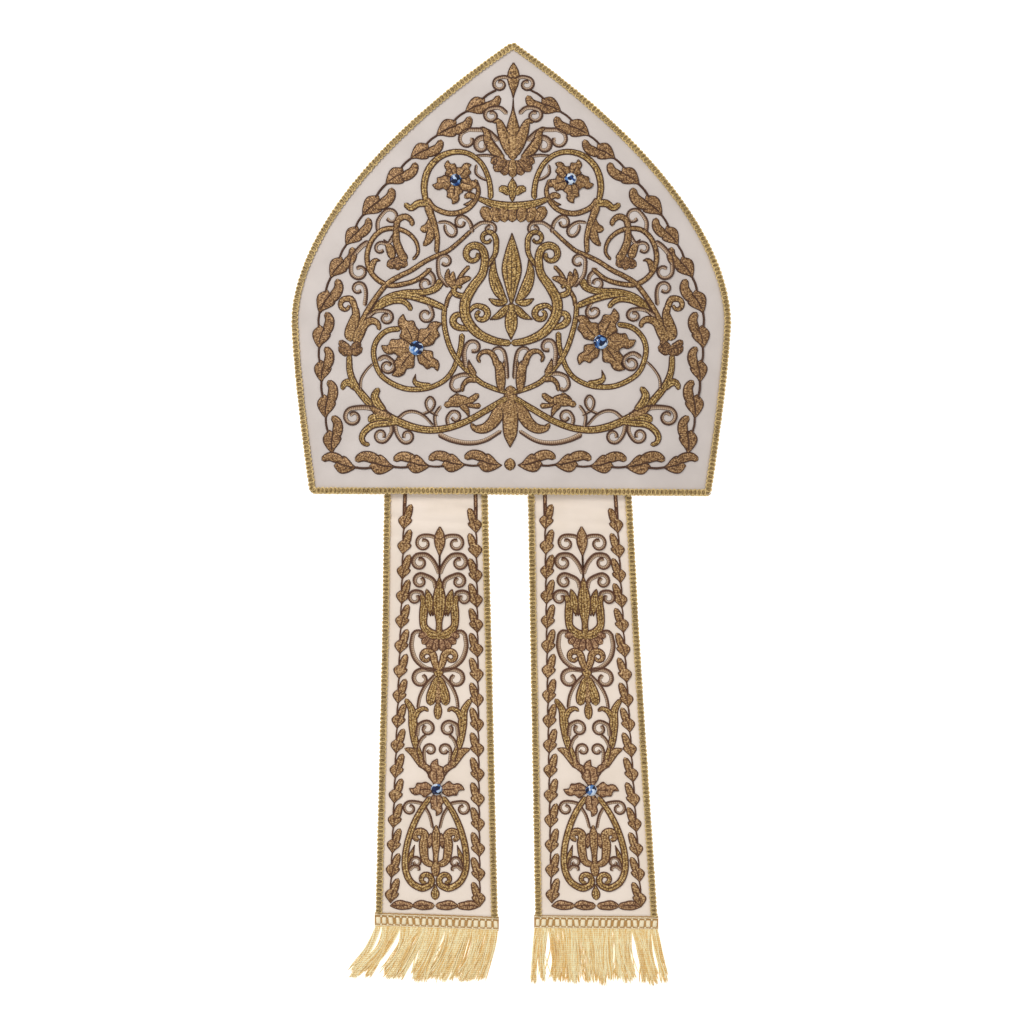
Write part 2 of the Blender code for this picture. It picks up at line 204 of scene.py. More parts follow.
def cutGlass(name, stops):
    # foil-backed blue glass: the light that the foil throws back from some facets, and the near black of the
    # others, are painted reflections: random cells are coloured from near black to near white
    made, tree, shader = startMaterial(name, 0.05, IOR=1.4, Coat_Weight=0.3, Coat_Roughness=0.02)
    where = addNode(tree, "ShaderNodeTexCoord", {}, "Object")
    glintCells = addNode(tree, "ShaderNodeTexVoronoi", {"Vector": where, "Scale": 430.0}, "Color")
    share = addNode(tree, "ShaderNodeSeparateXYZ", {0: glintCells})
    colour = addNode(tree, "ShaderNodeValToRGB", {"Fac": share}, "Color", stops)
    tree.links.new(colour, shader.inputs["Base Color"])
    return made


finishes = dict(
    panelSilk=silkCloth("ribbedSilk", "DED3CC", "D2C7C0", 0.5),
    lappetSilk=silkCloth("creamSilk", "FFEFE0", "F6E5D3", 0.5),
    liningSilk=silkCloth("plainLining", "E4DAC4", "D6CBB2", 0.7),
    metalThread=metalThread("giltPassingThread", ("442A08", "A27C3C", "ECCD8C"),
                            ("3A1E0C", "8C653C", "D0A878")),
    satinThread=satinThread("brownSatinSilk", [(0.0, "3C2213"), (0.5, "94704F"), (1.0, "D4BBA0")]),
    outlineCord=twistedCord("brownSilkCord", "2E1508", "603A1F"),
    # the lappets are worked in slightly paler silks
    paleThread=metalThread("palePassingThread", ("4A2A0C", "AE8544", "F0D294"),
                           ("48260F", "A07450", "DDB68A")),
    paleCord=twistedCord("paleSilkCord", "3C1C0A", "74482A"),
    gimp=twistedCord("giltGimp", "5C3E0E", "EFD08E", 1.6, 0.45, 0.1, ribs=0.14, spread=1.0),
    # the fringe and its head glow a little in their light colour: painted light
    fringe=twistedCord("rayonFringe", "E6B250", "FFF4C8", 1.5, 0.34, ribs=0.16, spread=0.75, glow=0.08),
    fringeHead=twistedCord("wovenRayonBraid", "B4843C", "FFF0CC", 1.5, 0.36, ribs=0.1, spread=0.9, glow=0.04),
    glass=cutGlass("blueCutGlass", [(0.0, "02040F"), (0.36, "0A1C48"), (0.54, "1B4488"), (0.7, "6C9CD6"),
                                    (0.82, "DCEBFB")]),
)
print("finishes made")


# The cloth's shapes, in mm; x runs across, and height up the panel from its rim
cut = dict(shoulder=127.4, rimHalf=146.4, archPower=1.81, sidePower=1.35, rimBow=26.0, peakBow=19.0, gap=0.3)
frontLow, frontHigh = [np.array(corner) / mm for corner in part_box("front_panel")]
rimY = frontLow[1]
cut.update(height=frontHigh[1] - frontLow[1], half=frontHigh[0], frontFace=frontLow[2],
           wall=frontHigh[2] - frontLow[2])
backInner = frontHigh[2] + cut["gap"]


def halfWidth(height):
    below = np.clip((cut["shoulder"] - height) / cut["shoulder"], 0, 1)
    above = np.clip((height - cut["shoulder"]) / (cut["height"] - cut["shoulder"]), 0, 1)
    side = cut["half"] - (cut["half"] - cut["rimHalf"]) * below ** cut["sidePower"]
    return np.where(height <= cut["shoulder"], side, cut["half"] * (1 - above ** cut["archPower"]))


def bow(x, height):
    reach = np.where(height < cut["shoulder"], halfWidth(height), cut["half"])
    crest = cut["rimBow"] + (cut["peakBow"] - cut["rimBow"]) * height / cut["height"]
    return crest * (1 - (x / reach) ** 2)


def smooth(share):
    share = np.clip(share, 0, 1)
    return share * share * (3 - 2 * share)


def offSurface(surface, x, y, lift):
    # points of surface(x, y), lifted off it square to the surface; metres come out
    step = 0.5
    slopeX = (surface(x + step, y) - surface(x - step, y)) / (2 * step)
    slopeY = (surface(x, y + step) - surface(x, y - step)) / (2 * step)
    steep = np.sqrt(slopeX ** 2 + slopeY ** 2 + 1)
    lift = lift / steep
    return np.stack([x - slopeX * lift, rimY + y - slopeY * lift, surface(x, y) + lift], axis=-1) * mm


def onBack(x, height, lift):
    return offSurface(lambda a, b: backInner + bow(a, b), x, height, lift + cut["wall"])


def onFront(x, height, lift):
    return np.stack([x, rimY + height, cut["frontFace"] - lift + 0 * x], axis=-1) * mm


lappets = dict(
    left=dict(root=-54.4, swing=1.6, foot=-0.030, axis=3.1, lean=0.0143, down=0.1,
              sweepLow=-18.0, sweepHigh=-11.0),
    right=dict(root=51.0, swing=14.6, foot=-0.006, axis=0.4, lean=0.0, down=-0.5,
               sweepLow=0.0, sweepHigh=7.5),
)
lappetCut = dict(length=313.0, topHalf=37.25, footHalf=44.5, wall=1.8, clothWall=1.3, tuck=22.0,
                 braidTuck=5.0, braidThick=1.8, rise=9.0, fall=125.0, ripple=0.18, pressed=0.2, ease=8.0)
# the shallow cross folds where each lappet comes out from under the rim: mm below it, slope and depth
crossFolds = ((8, 0.12, 0.8), (14, -0.10, 0.7), (21, 0.07, 0.8), (30, -0.05, 0.5), (41, 0.08, 0.3))
foldWidth = 2.2


def lappetMiddle(lappet, drop):
    return lappet["root"] + lappet["swing"] * drop / lappetCut["length"]


def lappetHalf(drop):
    return lappetCut["topHalf"] + (lappetCut["footHalf"] - lappetCut["topHalf"]) * drop / lappetCut["length"]


def creases(x, drop):
    return sum(deep * np.exp(-((drop - place - slope * x) / foldWidth) ** 2)
               for place, slope, deep in crossFolds)


def lappetTop(lappet, x, drop):
    # it comes out from under the rim, falls to the table and lies there
    c = lappetCut
    under = backInner + bow(x, np.maximum(-drop, 0.0))
    risen = smooth((drop + c["braidTuck"] + c["rise"]) / c["rise"])
    room = cut["gap"] + (cut["gap"] + c["braidThick"]) * risen
    fall = smooth(drop / c["fall"])
    ripple = c["ripple"] * np.sin(drop / 9.0 + x / 31.0) * smooth((drop - 10) / 40)
    dip = (creases(x - lappetMiddle(lappet, drop), drop) + c["pressed"] + ripple) * smooth(drop / c["ease"])
    return (under - room) * (1 - fall) + c["wall"] * fall - dip


def onLappet(lappet, x, drop, lift):
    # x is measured from the lappet's own middle line
    return offSurface(lambda a, b: lappetTop(lappet, a, -b), lappetMiddle(lappet, drop) + x, -drop, lift)


# The camera looks straight down; its picture is turned a little, so the mitre leans to the right in it
shot = dict(x=1.4, belowRim=-13.6, level=8.0, pixel=0.74, picture=1024, rimRow=493, lens=100.0,
            film=36.0, turn=0.0055)
shot.update(distance=shot["pixel"] * shot["picture"] * shot["lens"] / shot["film"])


def downSight(x, height):
    # drawings are measured as seen: a sight line that seems to reach (x, height) on the table meets the bowed
    # cloth nearer the middle of the picture
    closer = 1 - (backInner + bow(x, height) - shot["level"]) / shot["distance"]
    seen = height + (shot["picture"] / 2 - shot["rimRow"]) * shot["pixel"] + shot["turn"] * x
    return shot["x"] + (x - shot["x"]) * closer, seen * closer + shot["belowRim"]


# Meshes are grids moved by functions, gathered in beds: one bed is one piece

def newBed():
    bed = bmesh.new()
    return bed, bed.verts.layers.float_vector.new("stitch")


def addPatch(bed, columns, rows, place):
    # place(column numbers, row numbers) gives points in metres and what each vertex carries
    mesh, layer = bed
    made = bmesh.ops.create_grid(mesh, x_segments=columns, y_segments=rows, size=1)["verts"]
    across = np.array([round((vert.co.x + 1) / 2 * columns) for vert in made])
    along = np.array([round((vert.co.y + 1) / 2 * rows) for vert in made])
    points, carried = place(across, along)
    for vert, point, value in zip(made, points.tolist(), carried.tolist()):
        vert.co = point
        vert[layer] = value


def finishPiece(name, bed, material, replaced=(), weld=0.0, flip=False):
    mesh = bed[0]
    if weld:
        bmesh.ops.remove_doubles(mesh, verts=mesh.verts, dist=weld * mm)
    if flip:
        bmesh.ops.reverse_faces(mesh, faces=mesh.faces)
    data = bpy.data.meshes.new(name)
    mesh.to_mesh(data)
    mesh.free()
    data.shade_smooth()
    data.materials.append(material)
    piece = bpy.data.objects.new(name, data)
    bpy.context.scene.collection.objects.link(piece)
    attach(piece, "root")
    if replaced:
        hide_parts(*replaced)
    print(name, len(data.polygons), "faces")
    return piece


def sheetPiece(name, columns, rows, place, wall, material, slot, replaced):
    # a cloth wall, grown on the side that its faces look to
    bed = newBed()

    def laid(across, along):
        points = place(across / columns, along / rows)
        return points, np.zeros_like(points)

    addPatch(bed, columns, rows, laid)
    piece = finishPiece(name, bed, material, replaced, weld=0.005)
    thick = piece.modifiers.new("wall", "SOLIDIFY")
    thick.thickness = wall * mm
    thick.offset = 1
    thick.use_even_offset = True
    return piece


# Stitching: lines drawn on the cloth, each with a fill and a cord down both its edges

stitchCut = dict(step=1.4, cord=0.56, thinCord=0.3, fillHeight=0.75, sink=0.15, layers=5, layerLift=0.09,
                 rowWidth=2.1, mostRows=4, frontStep=2.2)


def throughPoints(p, t):
    # a Catmull-Rom curve through neighbouring values a, b, c, d, at t between b and c
    a, b, c, d = p
    square, cube = 2 * a - 5 * b + 4 * c - d, 3 * b - a - 3 * c + d
    return 0.5 * (2 * b + (c - a) * t + square * t ** 2 + cube * t ** 3)


def smoothLine(points, step):
    p = np.array(points, float)
    p = np.vstack([2 * p[0] - p[1], p, 2 * p[-1] - p[-2]])
    t = np.linspace(0, 1, 12, endpoint=False)[:, None]
    spans = [throughPoints(near, t) for near in zip(p, p[1:], p[2:], p[3:])]
    return evenSteps(np.vstack(spans + [p[-2][None]]), step)


def smoothWidths(widths, share):
    # widths spaced evenly along a line, eased between
    w = np.array([2 * widths[0] - widths[1], *widths, 2 * widths[-1] - widths[-2]])
    place = share * (len(widths) - 1)
    n = np.minimum(place.astype(int), len(widths) - 2)
    return np.maximum(throughPoints((w[n], w[n + 1], w[n + 2], w[n + 3]), place - n), 0.3)


def evenSteps(line, step):
    lengths = np.concatenate([[0], np.cumsum(np.linalg.norm(np.diff(line, axis=0), axis=1))])
    even = np.linspace(0, lengths[-1], max(int(round(lengths[-1] / step)), 5) + 1)
    return np.column_stack([np.interp(even, lengths, line[:, k]) for k in range(line.shape[1])])


curlCut = dict(entry=0.35, perTurn=9, inward=0.68, hurry=1.15)


def curlPoints(last, curl):
    # from where the line last was, on to the curl's circle at a tangent, then round and inwards
    x, y, radius, turns = curl
    sign = math.copysign(1, turns)
    apart = math.dist(last, (x, y))
    entry = math.acos(radius / apart) if apart > radius * 1.02 else curlCut["entry"]
    start = math.atan2(last[1] - y, last[0] - x) + sign * entry
    count = max(int(abs(turns) * curlCut["perTurn"]), 3)
    points = []
    for number in range(count + 1):
        share = number / count
        reach = radius * (1 - curlCut["inward"] * share ** curlCut["hurry"])
        angle = start + turns * 2 * math.pi * share
        points.append((x + reach * math.cos(angle), y + reach * math.sin(angle)))
    return points


def roundEnds(half, along):
    # where a line doesn't already come to a point, its half width closes in a half circle
    for away in (along, along[-1] - along):
        reach = half[np.argmin(away)]
        if reach > 0.8:
            half = half * np.sqrt(np.clip(1 - np.clip(1 - away / reach, 0, 1) ** 2, 0.02, 1))
    return half


class Motifs:
    # draws on one cloth through one placing; the lift counts up so that crossing lines don't mix
    def __init__(self, beds, placing, onCloth, step, mirrored=False):
        self.beds, self.placing, self.onCloth, self.step = beds, placing, onCloth, step
        self.mirrored, self.layer = mirrored, 0

    def start(self, points, curl=None):
        # the placed line, its direction to the right, the mm along it, and its share
        if curl:
            points = points + curlPoints(points[-1], curl)
        line = self.placing(smoothLine(points, self.step))
        ahead = np.gradient(line, axis=0)
        ahead /= np.maximum(np.linalg.norm(ahead, axis=1), 1e-6)[:, None]
        along = np.concatenate([[0], np.cumsum(np.linalg.norm(np.diff(line, axis=0), axis=1))])
        self.layer = (self.layer + 1) % stitchCut["layers"]
        return line, np.stack([ahead[:, 1], -ahead[:, 0]], axis=1), along, np.linspace(0, 1, len(line))

    def lay(self, bed, columns, line, right, across):
        # across(column, number) gives mm to the right, mm above the cloth, and what the vertex carries
        def place(column, number):
            offset, high, carried = across(column, number)
            spot = line[number] + right[number] * offset[:, None]
            return self.onCloth(spot[:, 0], spot[:, 1], high + self.layer * stitchCut["layerLift"]), carried
        addPatch(self.beds[bed], columns, len(line) - 1, place)

    def edgeCord(self, line, right, along, offset, radius):
        def across(column, number):
            angle = math.pi * (1 - column / 4)
            high = np.sin(angle) * radius[number] * 1.7 - stitchCut["sink"]
            carried = np.stack([angle, along[number], 0.5 + 0 * angle], axis=1)
            return offset[number] + np.cos(angle) * radius[number], high, carried
        self.lay("cord", 4, line, right, across)

    def shape(self, left, right, points, tone, rows=0, curl=None):
        # a filled shape round its middle line, left and right are widths from that line
        line, beside, along, share = self.start(points, curl)
        if self.mirrored:
            left, right = right, left
        sides = [roundEnds(smoothWidths(widths, share), along) for widths in (left, right)]
        radius = [np.minimum(stitchCut["cord"], half * 0.6) for half in sides]
        inner = [np.maximum(half - cord, 0.0) for half, cord in zip(sides, radius)]
        widest = max(inner[0] + inner[1])
        rows = rows or min(max(round(widest / stitchCut["rowWidth"]), 1), stitchCut["mostRows"])
        count = 6 if rows > 1 else 4

        def fill(column, number):
            place = column / count
            level = 0.3 + 0.7 * np.sqrt(np.sin(math.pi * place))
            offset = (2 * place - 1) * np.where(place < 0.5, inner[0][number], inner[1][number])
            thick = np.minimum((inner[0] + inner[1])[number] / 2.8, 1.25)
            carried = np.stack([place * rows, along[number], tone + 0 * place], axis=1)
            return offset, stitchCut["fillHeight"] * level * thick, carried

        self.lay("gold", count, line, beside, fill)
        for side, inside, cord in ((-1, inner[0], radius[0]), (1, inner[1], radius[1])):
            self.edgeCord(line, beside, along, side * inside, cord)

    def band(self, widths, points, tone, curl=None):
        halves = [wide / 2 for wide in widths]
        self.shape(halves, halves, points, tone, curl=curl)

    def bands(self, table, tone):
        for widths, points, *curl in table:
            self.band(widths, points, tone, *curl)

    def tendril(self, widths, points, curl=None):
        # satin stitch with a dark cord on the outside of its bend and a thin one on the inside
        line, beside, along, share = self.start(points, curl)
        ends = 1 + 0.5 * smooth((share - 0.9) / 0.08) if curl and curl[3] else 1
        half = roundEnds(smoothWidths([wide / 2 for wide in widths], share) * ends, along)
        bend = np.cross(beside[:-1], beside[1:]).sum()
        outer = 1 if bend > 0 else -1
        radius = np.minimum(stitchCut["cord"] * 1.3, half * 0.62)
        thin = np.minimum(stitchCut["thinCord"], half * 0.4)

        def fill(column, number):
            place = column / 3 * 2 - 1
            high = 0.25 + 0.35 * (1 - place ** 2)
            carried = np.stack([place * outer, along[number], 0 * place], axis=1)
            return place * half[number] * 0.85, high, carried

        self.lay("satin", 3, line, beside, fill)
        self.edgeCord(line, beside, along, outer * (half - radius), radius)
        self.edgeCord(line, beside, along, -outer * (half - thin), thin)

    def tendrils(self, table):
        for widths, points, *curl in table:
            self.tendril(widths, points, *curl)

    def vein(self, radius, points):
        line, beside, along, share = self.start(points)
        reach = radius * np.sqrt(np.clip(np.minimum(share, 1 - share) * 8, 0.1, 1))
        raised = self.onCloth
        self.onCloth = lambda x, y, lift: raised(x, y, lift + 0.75)
        self.edgeCord(line, beside, along, 0 * along, reach)
        self.onCloth = raised

    def stem(self, radius, points):
        line, beside, along, share = self.start(points)
        self.edgeCord(line, beside, along, 0 * along, radius + 0 * along)


# The panel's embroidery, drawn for one half: x is mm from the axis, the other is mm above the rim

sideLeaves = [(-129.5, 29.5), (-134.5, 55.5), (-138, 82), (-140, 107), (-140, 133), (-132, 159), (-121, 183),
              (-109, 205), (-92, 228), (-74, 247), (-55, 264), (-34, 281.5), (-13, 297)]
rimLeaves = [(-6, 20.5), (-32, 21), (-58, 20), (-84, 19.5), (-112, 19), (-137, 20)]

# how golden the motifs of each table are: 1 is gold, 0 is brown, and below 0 is darker still
tones = dict(gold=0.95, panelStem=0.3, panelShape=0.2, panelShell=-0.12, axisShape=0.25, bowlFlute=0.2,
             lappetStem=0.5, lappetShape=0.2, lappetShell=-0.06, footLeaf=0.15, topStem=0.0)
# widths along the band, then where it runs, and for some at last a curl: middle, radius and turns
panelBands = [
    ((3.8, 4.4, 4.4, 4.2), [(0, 73.5), (-10, 76.5), (-20, 81), (-28, 87.5), (-34, 93.5), (-39, 99),
     (-44, 108), (-47.5, 120), (-48.5, 130), (-48, 138)]),
    ((3.2, 5, 5.2, 4), [(-105, 129.5), (-97, 137), (-88, 141.5), (-80, 142), (-75, 139), (-72.5, 134.5)]),
    ((2.6, 5.4, 5.8, 5.6, 6.8), [(-102, 134), (-96, 140.5), (-88, 145), (-78, 147.5), (-68, 148),
     (-60, 149), (-54, 152), (-50.5, 158)]),
    ((3.6, 5.8, 5.8, 4.8), [(-84, 145.5), (-74, 145.5), (-64, 143), (-56, 140), (-48, 136.5)]),
    ((4.6, 4.2, 4.4, 4.4, 4.6), [(-35, 118), (-36, 107), (-39, 97), (-42, 90), (-48, 83), (-58, 78),
     (-68, 76.5), (-78, 77.5), (-88, 82), (-95, 88), (-99, 97), (-100, 106), (-97, 114), (-90, 120),
     (-80, 121.5)]),
    ((5, 5.2, 5.8, 6.4, 6, 4.6), [(-2, 70.5), (-13, 63.5), (-28, 54.5), (-43, 48.5), (-58, 46.5), (-72, 49),
     (-86, 55), (-98, 62), (-106, 70), (-113.5, 80), (-117.3, 90), (-118, 102)]),
    ((4, 5.6, 5.6, 5, 3.4), [(-80, 52), (-90, 51.5), (-99, 50.5), (-105, 46.5), (-108, 41.5), (-106.5, 37),
     (-102, 35.5)]),
    ((4, 6, 7, 6.4), [(-84, 54), (-92, 56), (-99, 55.5), (-103.5, 53)]),
    ((5, 7, 6.4, 4), [(-91, 60), (-96.4, 65.6), (-98.8, 71.8), (-95.6, 77.6)]),
    ((5, 7, 6.6, 5.2, 3), [(-111, 76), (-116, 81), (-120.3, 81.4), (-122.3, 78.6), (-122.2, 75.8)]),
    ((5, 5, 4.2, 0.5), [(-57, 79), (-64, 79.5), (-69.5, 82), (-69, 88)]),
    ((3.2, 5.2, 5.2, 4.4, 4.2, 4.6), [(-60, 204), (-62.5, 215), (-64, 227), (-61, 239), (-53, 248),
     (-42, 252), (-31, 250.5), (-22, 243.5), (-17, 233), (-15.3, 223), (-15.5, 217)]),
    ((5.6, 6, 5.2, 4), [(-60, 214), (-68, 214), (-73.5, 210.5), (-78.5, 214)]),
]
# long brown stems, in the same columns, then satin tendrils
panelStems = [
    ((4, 4.4, 4.2, 3.2), [(-62, 218), (-56, 210.5), (-45, 206.5), (-34, 208.7), (-27, 215), (-24, 223),
     (-26.5, 232)]),
    ((6.6, 5.8, 4.6, 4.2, 3.8), [(-61.5, 213), (-59, 205.6), (-55.6, 196.4), (-54, 188), (-54.4, 177)]),
    ((4.6, 5.4, 4.4, 3), [(-114, 130), (-114.3, 137), (-116.6, 142.8)], (-120.6, 138.6, 5.2, 0.85)),
    ((9, 10.4, 9, 6.6, 2.6), [(-117, 112), (-116.6, 119), (-114.8, 126), (-113.2, 132), (-112.8, 138)]),
    ((6.4, 8.4, 7, 5.4, 3.2), [(-113.4, 110), (-110.6, 118), (-106.6, 125), (-101, 127.2), (-97, 124.8),
     (-96, 120)]),
    ((3.6, 4.2, 4.2, 4, 2.6), [(-58, 166), (-68, 158), (-78, 154.5), (-89, 153.5), (-98, 158), (-104, 166),
     (-105.5, 176), (-102, 187), (-95, 194), (-86, 195.5), (-77, 193), (-70, 186.5), (-68, 178),
     (-72, 172)]),
    ((4.4, 4.2, 3.8, 3.2), [(-111, 123), (-103.5, 137), (-96, 148), (-90, 155), (-82, 160), (-73, 164.5),
     (-63, 171), (-54, 175.5), (-46, 179), (-38, 185.5), (-29, 194)]),
    ((3.6, 3.8, 3.4), [(-47.5, 136), (-45.5, 144), (-41, 151), (-36, 161), (-30, 168)]),
]
panelTendrils = [
    ((3.4, 2.4), [(-107, 138), (-106, 146)], (-111.7, 150.8, 5.2, 0.95)),
    ((3.6, 2.4), [(-106, 130), (-98, 134.5)], (-91, 129.5, 5, -1.15)),
    ((3.6, 2.4), [(-62, 166), (-56.5, 160)], (-62, 154.5, 5.5, -1.1)),
    ((3.4, 2.4), [(-68, 143.5), (-61, 141)], (-62, 131.5, 5.6, -1.1)),
    ((3.6, 2.4), [(-45, 152), (-52, 160)], (-48, 171, 5.4, -1)),
    ((4.2, 3.4, 2.2), [(-104, 186), (-110, 182), (-116, 174)], (-111, 164, 6.4, 0.95)),
    ((3.2, 2.4), [(-85, 192), (-90, 184.5)], (-95.5, 180.5, 4.6, 0.75)),
    ((3.6, 3, 2.2), [(-97, 190), (-98, 200)], (-88.5, 203.8, 6.2, -0.9)),
    ((3.4, 2.4), [(-28, 192), (-29.5, 199)], (-36.5, 199.8, 5, 1)),
    ((2.4, 2.8, 2.8, 2.4), [(-54, 199.6), (-48.5, 200.4), (-43.5, 198.4), (-40.2, 194.4), (-41.3, 190.4),
     (-45, 190.2), (-48, 194), (-48.6, 198.8)]),
    ((3.2, 2.4), [(-30, 194), (-22, 199.5)], (-15.7, 195, 4.6, -1.1)),
    ((3.6, 2.4), [(-4, 280), (-9, 284.5)], (-15, 279, 5.4, 1.15)),
    ((4.2, 3.4, 2.4), [(-10, 260), (-18, 267.5), (-28, 268.5)], (-32, 261, 7.2, 0.85)),
    ((5, 4.6, 2.4), [(-8, 249), (-13, 256)], (-21.5, 256.8, 6.2, 1.05)),
    ((2.8, 2.2), [(-8, 247.5), (-18, 249.5), (-27, 249)]),
    ((3.2, 2.4), [(0, 304.5), (-5, 307.3)], (-9.3, 302, 5, 1.15)),
    ((4.6, 3.6, 2.2), [(-86, 56.5), (-95, 60.5), (-104, 63.2)], (-114.5, 56.2, 6.6, 1.2)),
    ((3.6, 2.4), [(-87, 52), (-86, 46)], (-93.8, 42.6, 5.4, -1.1)),
    ((3.4, 2.4), [(-84, 51), (-82.5, 44)], (-75, 42, 5.4, 1.05)),
    ((3, 2.2), [(-82, 54.5), (-76, 59.5), (-69, 60), (-62, 56.5), (-55.5, 49.5)]),
    ((2.2, 2.4, 2.2), [(-65, 57.5), (-57, 61.5), (-54.8, 67), (-58, 70.8), (-61.2, 67), (-59, 61),
     (-52, 57)]),
    ((2.6, 2.6), [(-53.5, 48), (-54.5, 57), (-50, 64.5)]),
    ((3.2, 2.4), [(-44, 48), (-45.5, 54)], (-39.8, 56, 4.8, -1)),
    ((3.6, 2.8), [(-26, 86.5), (-34, 87.5), (-40, 85.5)], (-37.2, 79, 6.6, 0.5)),
    ((2.6, 2), [(-109.5, 75), (-109, 84), (-105, 91), (-100, 96)]),
    ((3.6, 2.4), [(-97, 98), (-92, 100.8)], (-89.8, 93.6, 5.6, -1.2)),
    ((3.8, 2.6), [(-32, 92), (-33.5, 102)], (-26.5, 107.2, 5.8, -0.85)),
    ((4.4, 3.8, 3), [(-52, 43.5), (-42, 39), (-30, 36.8), (-18, 38.6), (-6, 46)]),
    ((2.8, 3.2, 2.2), [(-2.2, 84), (-3, 95)], (-10.3, 102.8, 5.8, 0.5)),
    ((2.4, 2.2), [(-25.5, 243), (-26, 236.5), (-21.5, 232.5), (-16, 231)]),
]
# brown leaf shapes; the shells under the tulips are darker
panelShapes = [
    ((5, 5.2, 4.8, 3.6), [(-84.6, 195), (-82.8, 201.8), (-77.4, 204.2), (-73, 200.8), (-72.6, 197)]),
    ((4.6, 6, 6.8, 5.4), [(-57.8, 207), (-58.6, 201), (-61.4, 196), (-66.8, 194.6)]),
    ((3, 6.8, 6.4, 2.6), [(-56.4, 200), (-58.4, 193), (-60.4, 187), (-64.4, 182.4)]),
    ((4, 7.2, 7.6, 6, 2.4), [(-6, 247), (-12.5, 252.5), (-17, 259.5), (-18.8, 267), (-23, 270.5)]),
    ((4, 8, 8.6, 6.4, 2.4), [(-2, 249), (-4.6, 258), (-7.4, 267), (-10.4, 274.5), (-15, 274)]),
    ((3, 8.6, 6, 0.8), [(-86, 55), (-93, 58.5), (-99, 62), (-104, 66)]),
    ((2, 6.2, 5.4, 2), [(-39, 150), (-42.5, 156), (-42, 164)]),
    ((2, 6, 5.4, 2.4), [(-41, 152), (-35.5, 157), (-28.5, 159)]),
    ((2, 5, 4.6, 2), [(-40, 150), (-46, 158), (-45.5, 166)]),
    ((4.8, 5.2, 4), [(-48, 65), (-45, 65.3), (-42, 66)]),
    ((4, 9.4, 8.4, 5), [(-45, 65), (-39, 68), (-29, 68)]),
    ((5, 5.4, 4.2), [(-33, 67), (-27.5, 69), (-22.3, 73.3)]),
    ((4, 3.8, 5.4), [(-32, 65.5), (-26, 64.3), (-20.6, 64.5)]),
    ((5.4, 5, 1.6), [(-36, 66), (-31.5, 61.5), (-29.5, 56.5)]),
    ((4.4, 4.6, 2.4), [(-42, 66), (-39.5, 71), (-37, 73.5)]),
    ((7.4, 6.4, 6, 5, 0.8), [(-77, 171), (-81, 178), (-84, 186), (-84.3, 193), (-85, 201)]),
    ((4.4, 0.6), [(-83.5, 184), (-88.5, 189.5)]),
    ((6.4, 6.4, 0.8), [(-86.5, 173), (-89, 181), (-93.5, 187.5)]),
    ((3, 5.6, 4.6, 0.8), [(-102, 162), (-102, 168), (-99, 172), (-95.5, 171.5)]),
    ((5, 4.2, 2.8), [(-23, 83.5), (-30, 83.5), (-34, 79.5), (-34.5, 74.5)]),
    ((4.4, 5, 0.8), [(-25, 86.5), (-28.5, 92), (-30, 98.5)]),
    ((2.4, 5.2, 4.2), [(-23.5, 216.5), (-30, 220), (-34.5, 218)]),
    ((3, 3.8, 1), [(-28, 217), (-30, 214), (-35, 213)]),
    ((6, 9.8, 9.6, 8.4, 6.4, 2.6), [(-3, 67), (-8, 59.5), (-12.5, 52), (-18.5, 47.6), (-25, 47.8),
     (-28, 51.6)]),
    ((4, 7.4, 7.6, 5.6), [(-6.5, 74), (-7, 83), (-7.6, 91), (-10, 98)]),
    ((5.6, 5, 3.6, 2.6), [(-9.5, 93), (-11.5, 100), (-15, 104), (-20, 104), (-23.2, 100), (-21.5, 96)]),
    ((4.4, 3.4, 0.6), [(-6.6, 90), (-4.8, 95), (-4.2, 100)]),
]
panelShells = [
    ((4, 9, 7.6, 6), [(-116.5, 104), (-121, 105.5), (-126, 108)]),
    ((4, 9, 7.6, 6), [(-117.5, 104), (-113, 105.5), (-108, 107)]),
    ((4, 8.4, 6.4), [(-118, 109), (-118, 105), (-118, 100.5)]),
    ((3, 6, 4.4), [(-117, 108), (-121.5, 109), (-125.5, 112.6)]),
    ((3, 6, 4.4), [(-117, 108), (-113, 109), (-109.6, 112)]),
    ((5, 8, 6.4), [(-82, 173), (-86, 170), (-91, 167.5)]),
    ((5, 8, 6.4), [(-82, 173), (-79, 170), (-75.5, 168.5)]),
    ((5, 8, 5), [(-83, 175), (-83, 170), (-82.5, 164.5)]),
    ((4, 7.4, 6), [(-5, 246.5), (-10.5, 246), (-15.5, 244)]),
    ((4, 8, 6.4), [(-4, 246), (-9.5, 241.5), (-12.5, 237.5)]),
    ((4, 8, 6), [(-2, 246), (-5, 240), (-6.2, 234.5)]),
]
# on the axis itself, drawn once
axisShapes = [
    ((0.6, 3.6, 7.6, 9.4, 7.6, 1.4), [(0, 291), (0, 297), (0, 303), (0, 308), (0, 313), (0, 318)]),
    ((6, 9, 11.4, 10.4, 6.4, 2.2, 1), [(0, 246), (0, 253), (0, 261), (0, 269), (0, 277), (0, 285),
     (0, 291)]),
    ((4, 7.4, 5.4), [(0, 247), (0, 240), (0, 233)]),
    ((9, 12, 11.6, 9.6, 0.8), [(0, 69), (0, 59), (0, 50), (0, 42), (0, 33.5)]),
    ((6, 9.6, 9.6, 6), [(0, 79.5), (0, 75.5), (0, 70.5), (0, 65)]),
    ((5, 8.6, 5), [(0, 16.4), (0, 21), (0, 25.8)]),
]
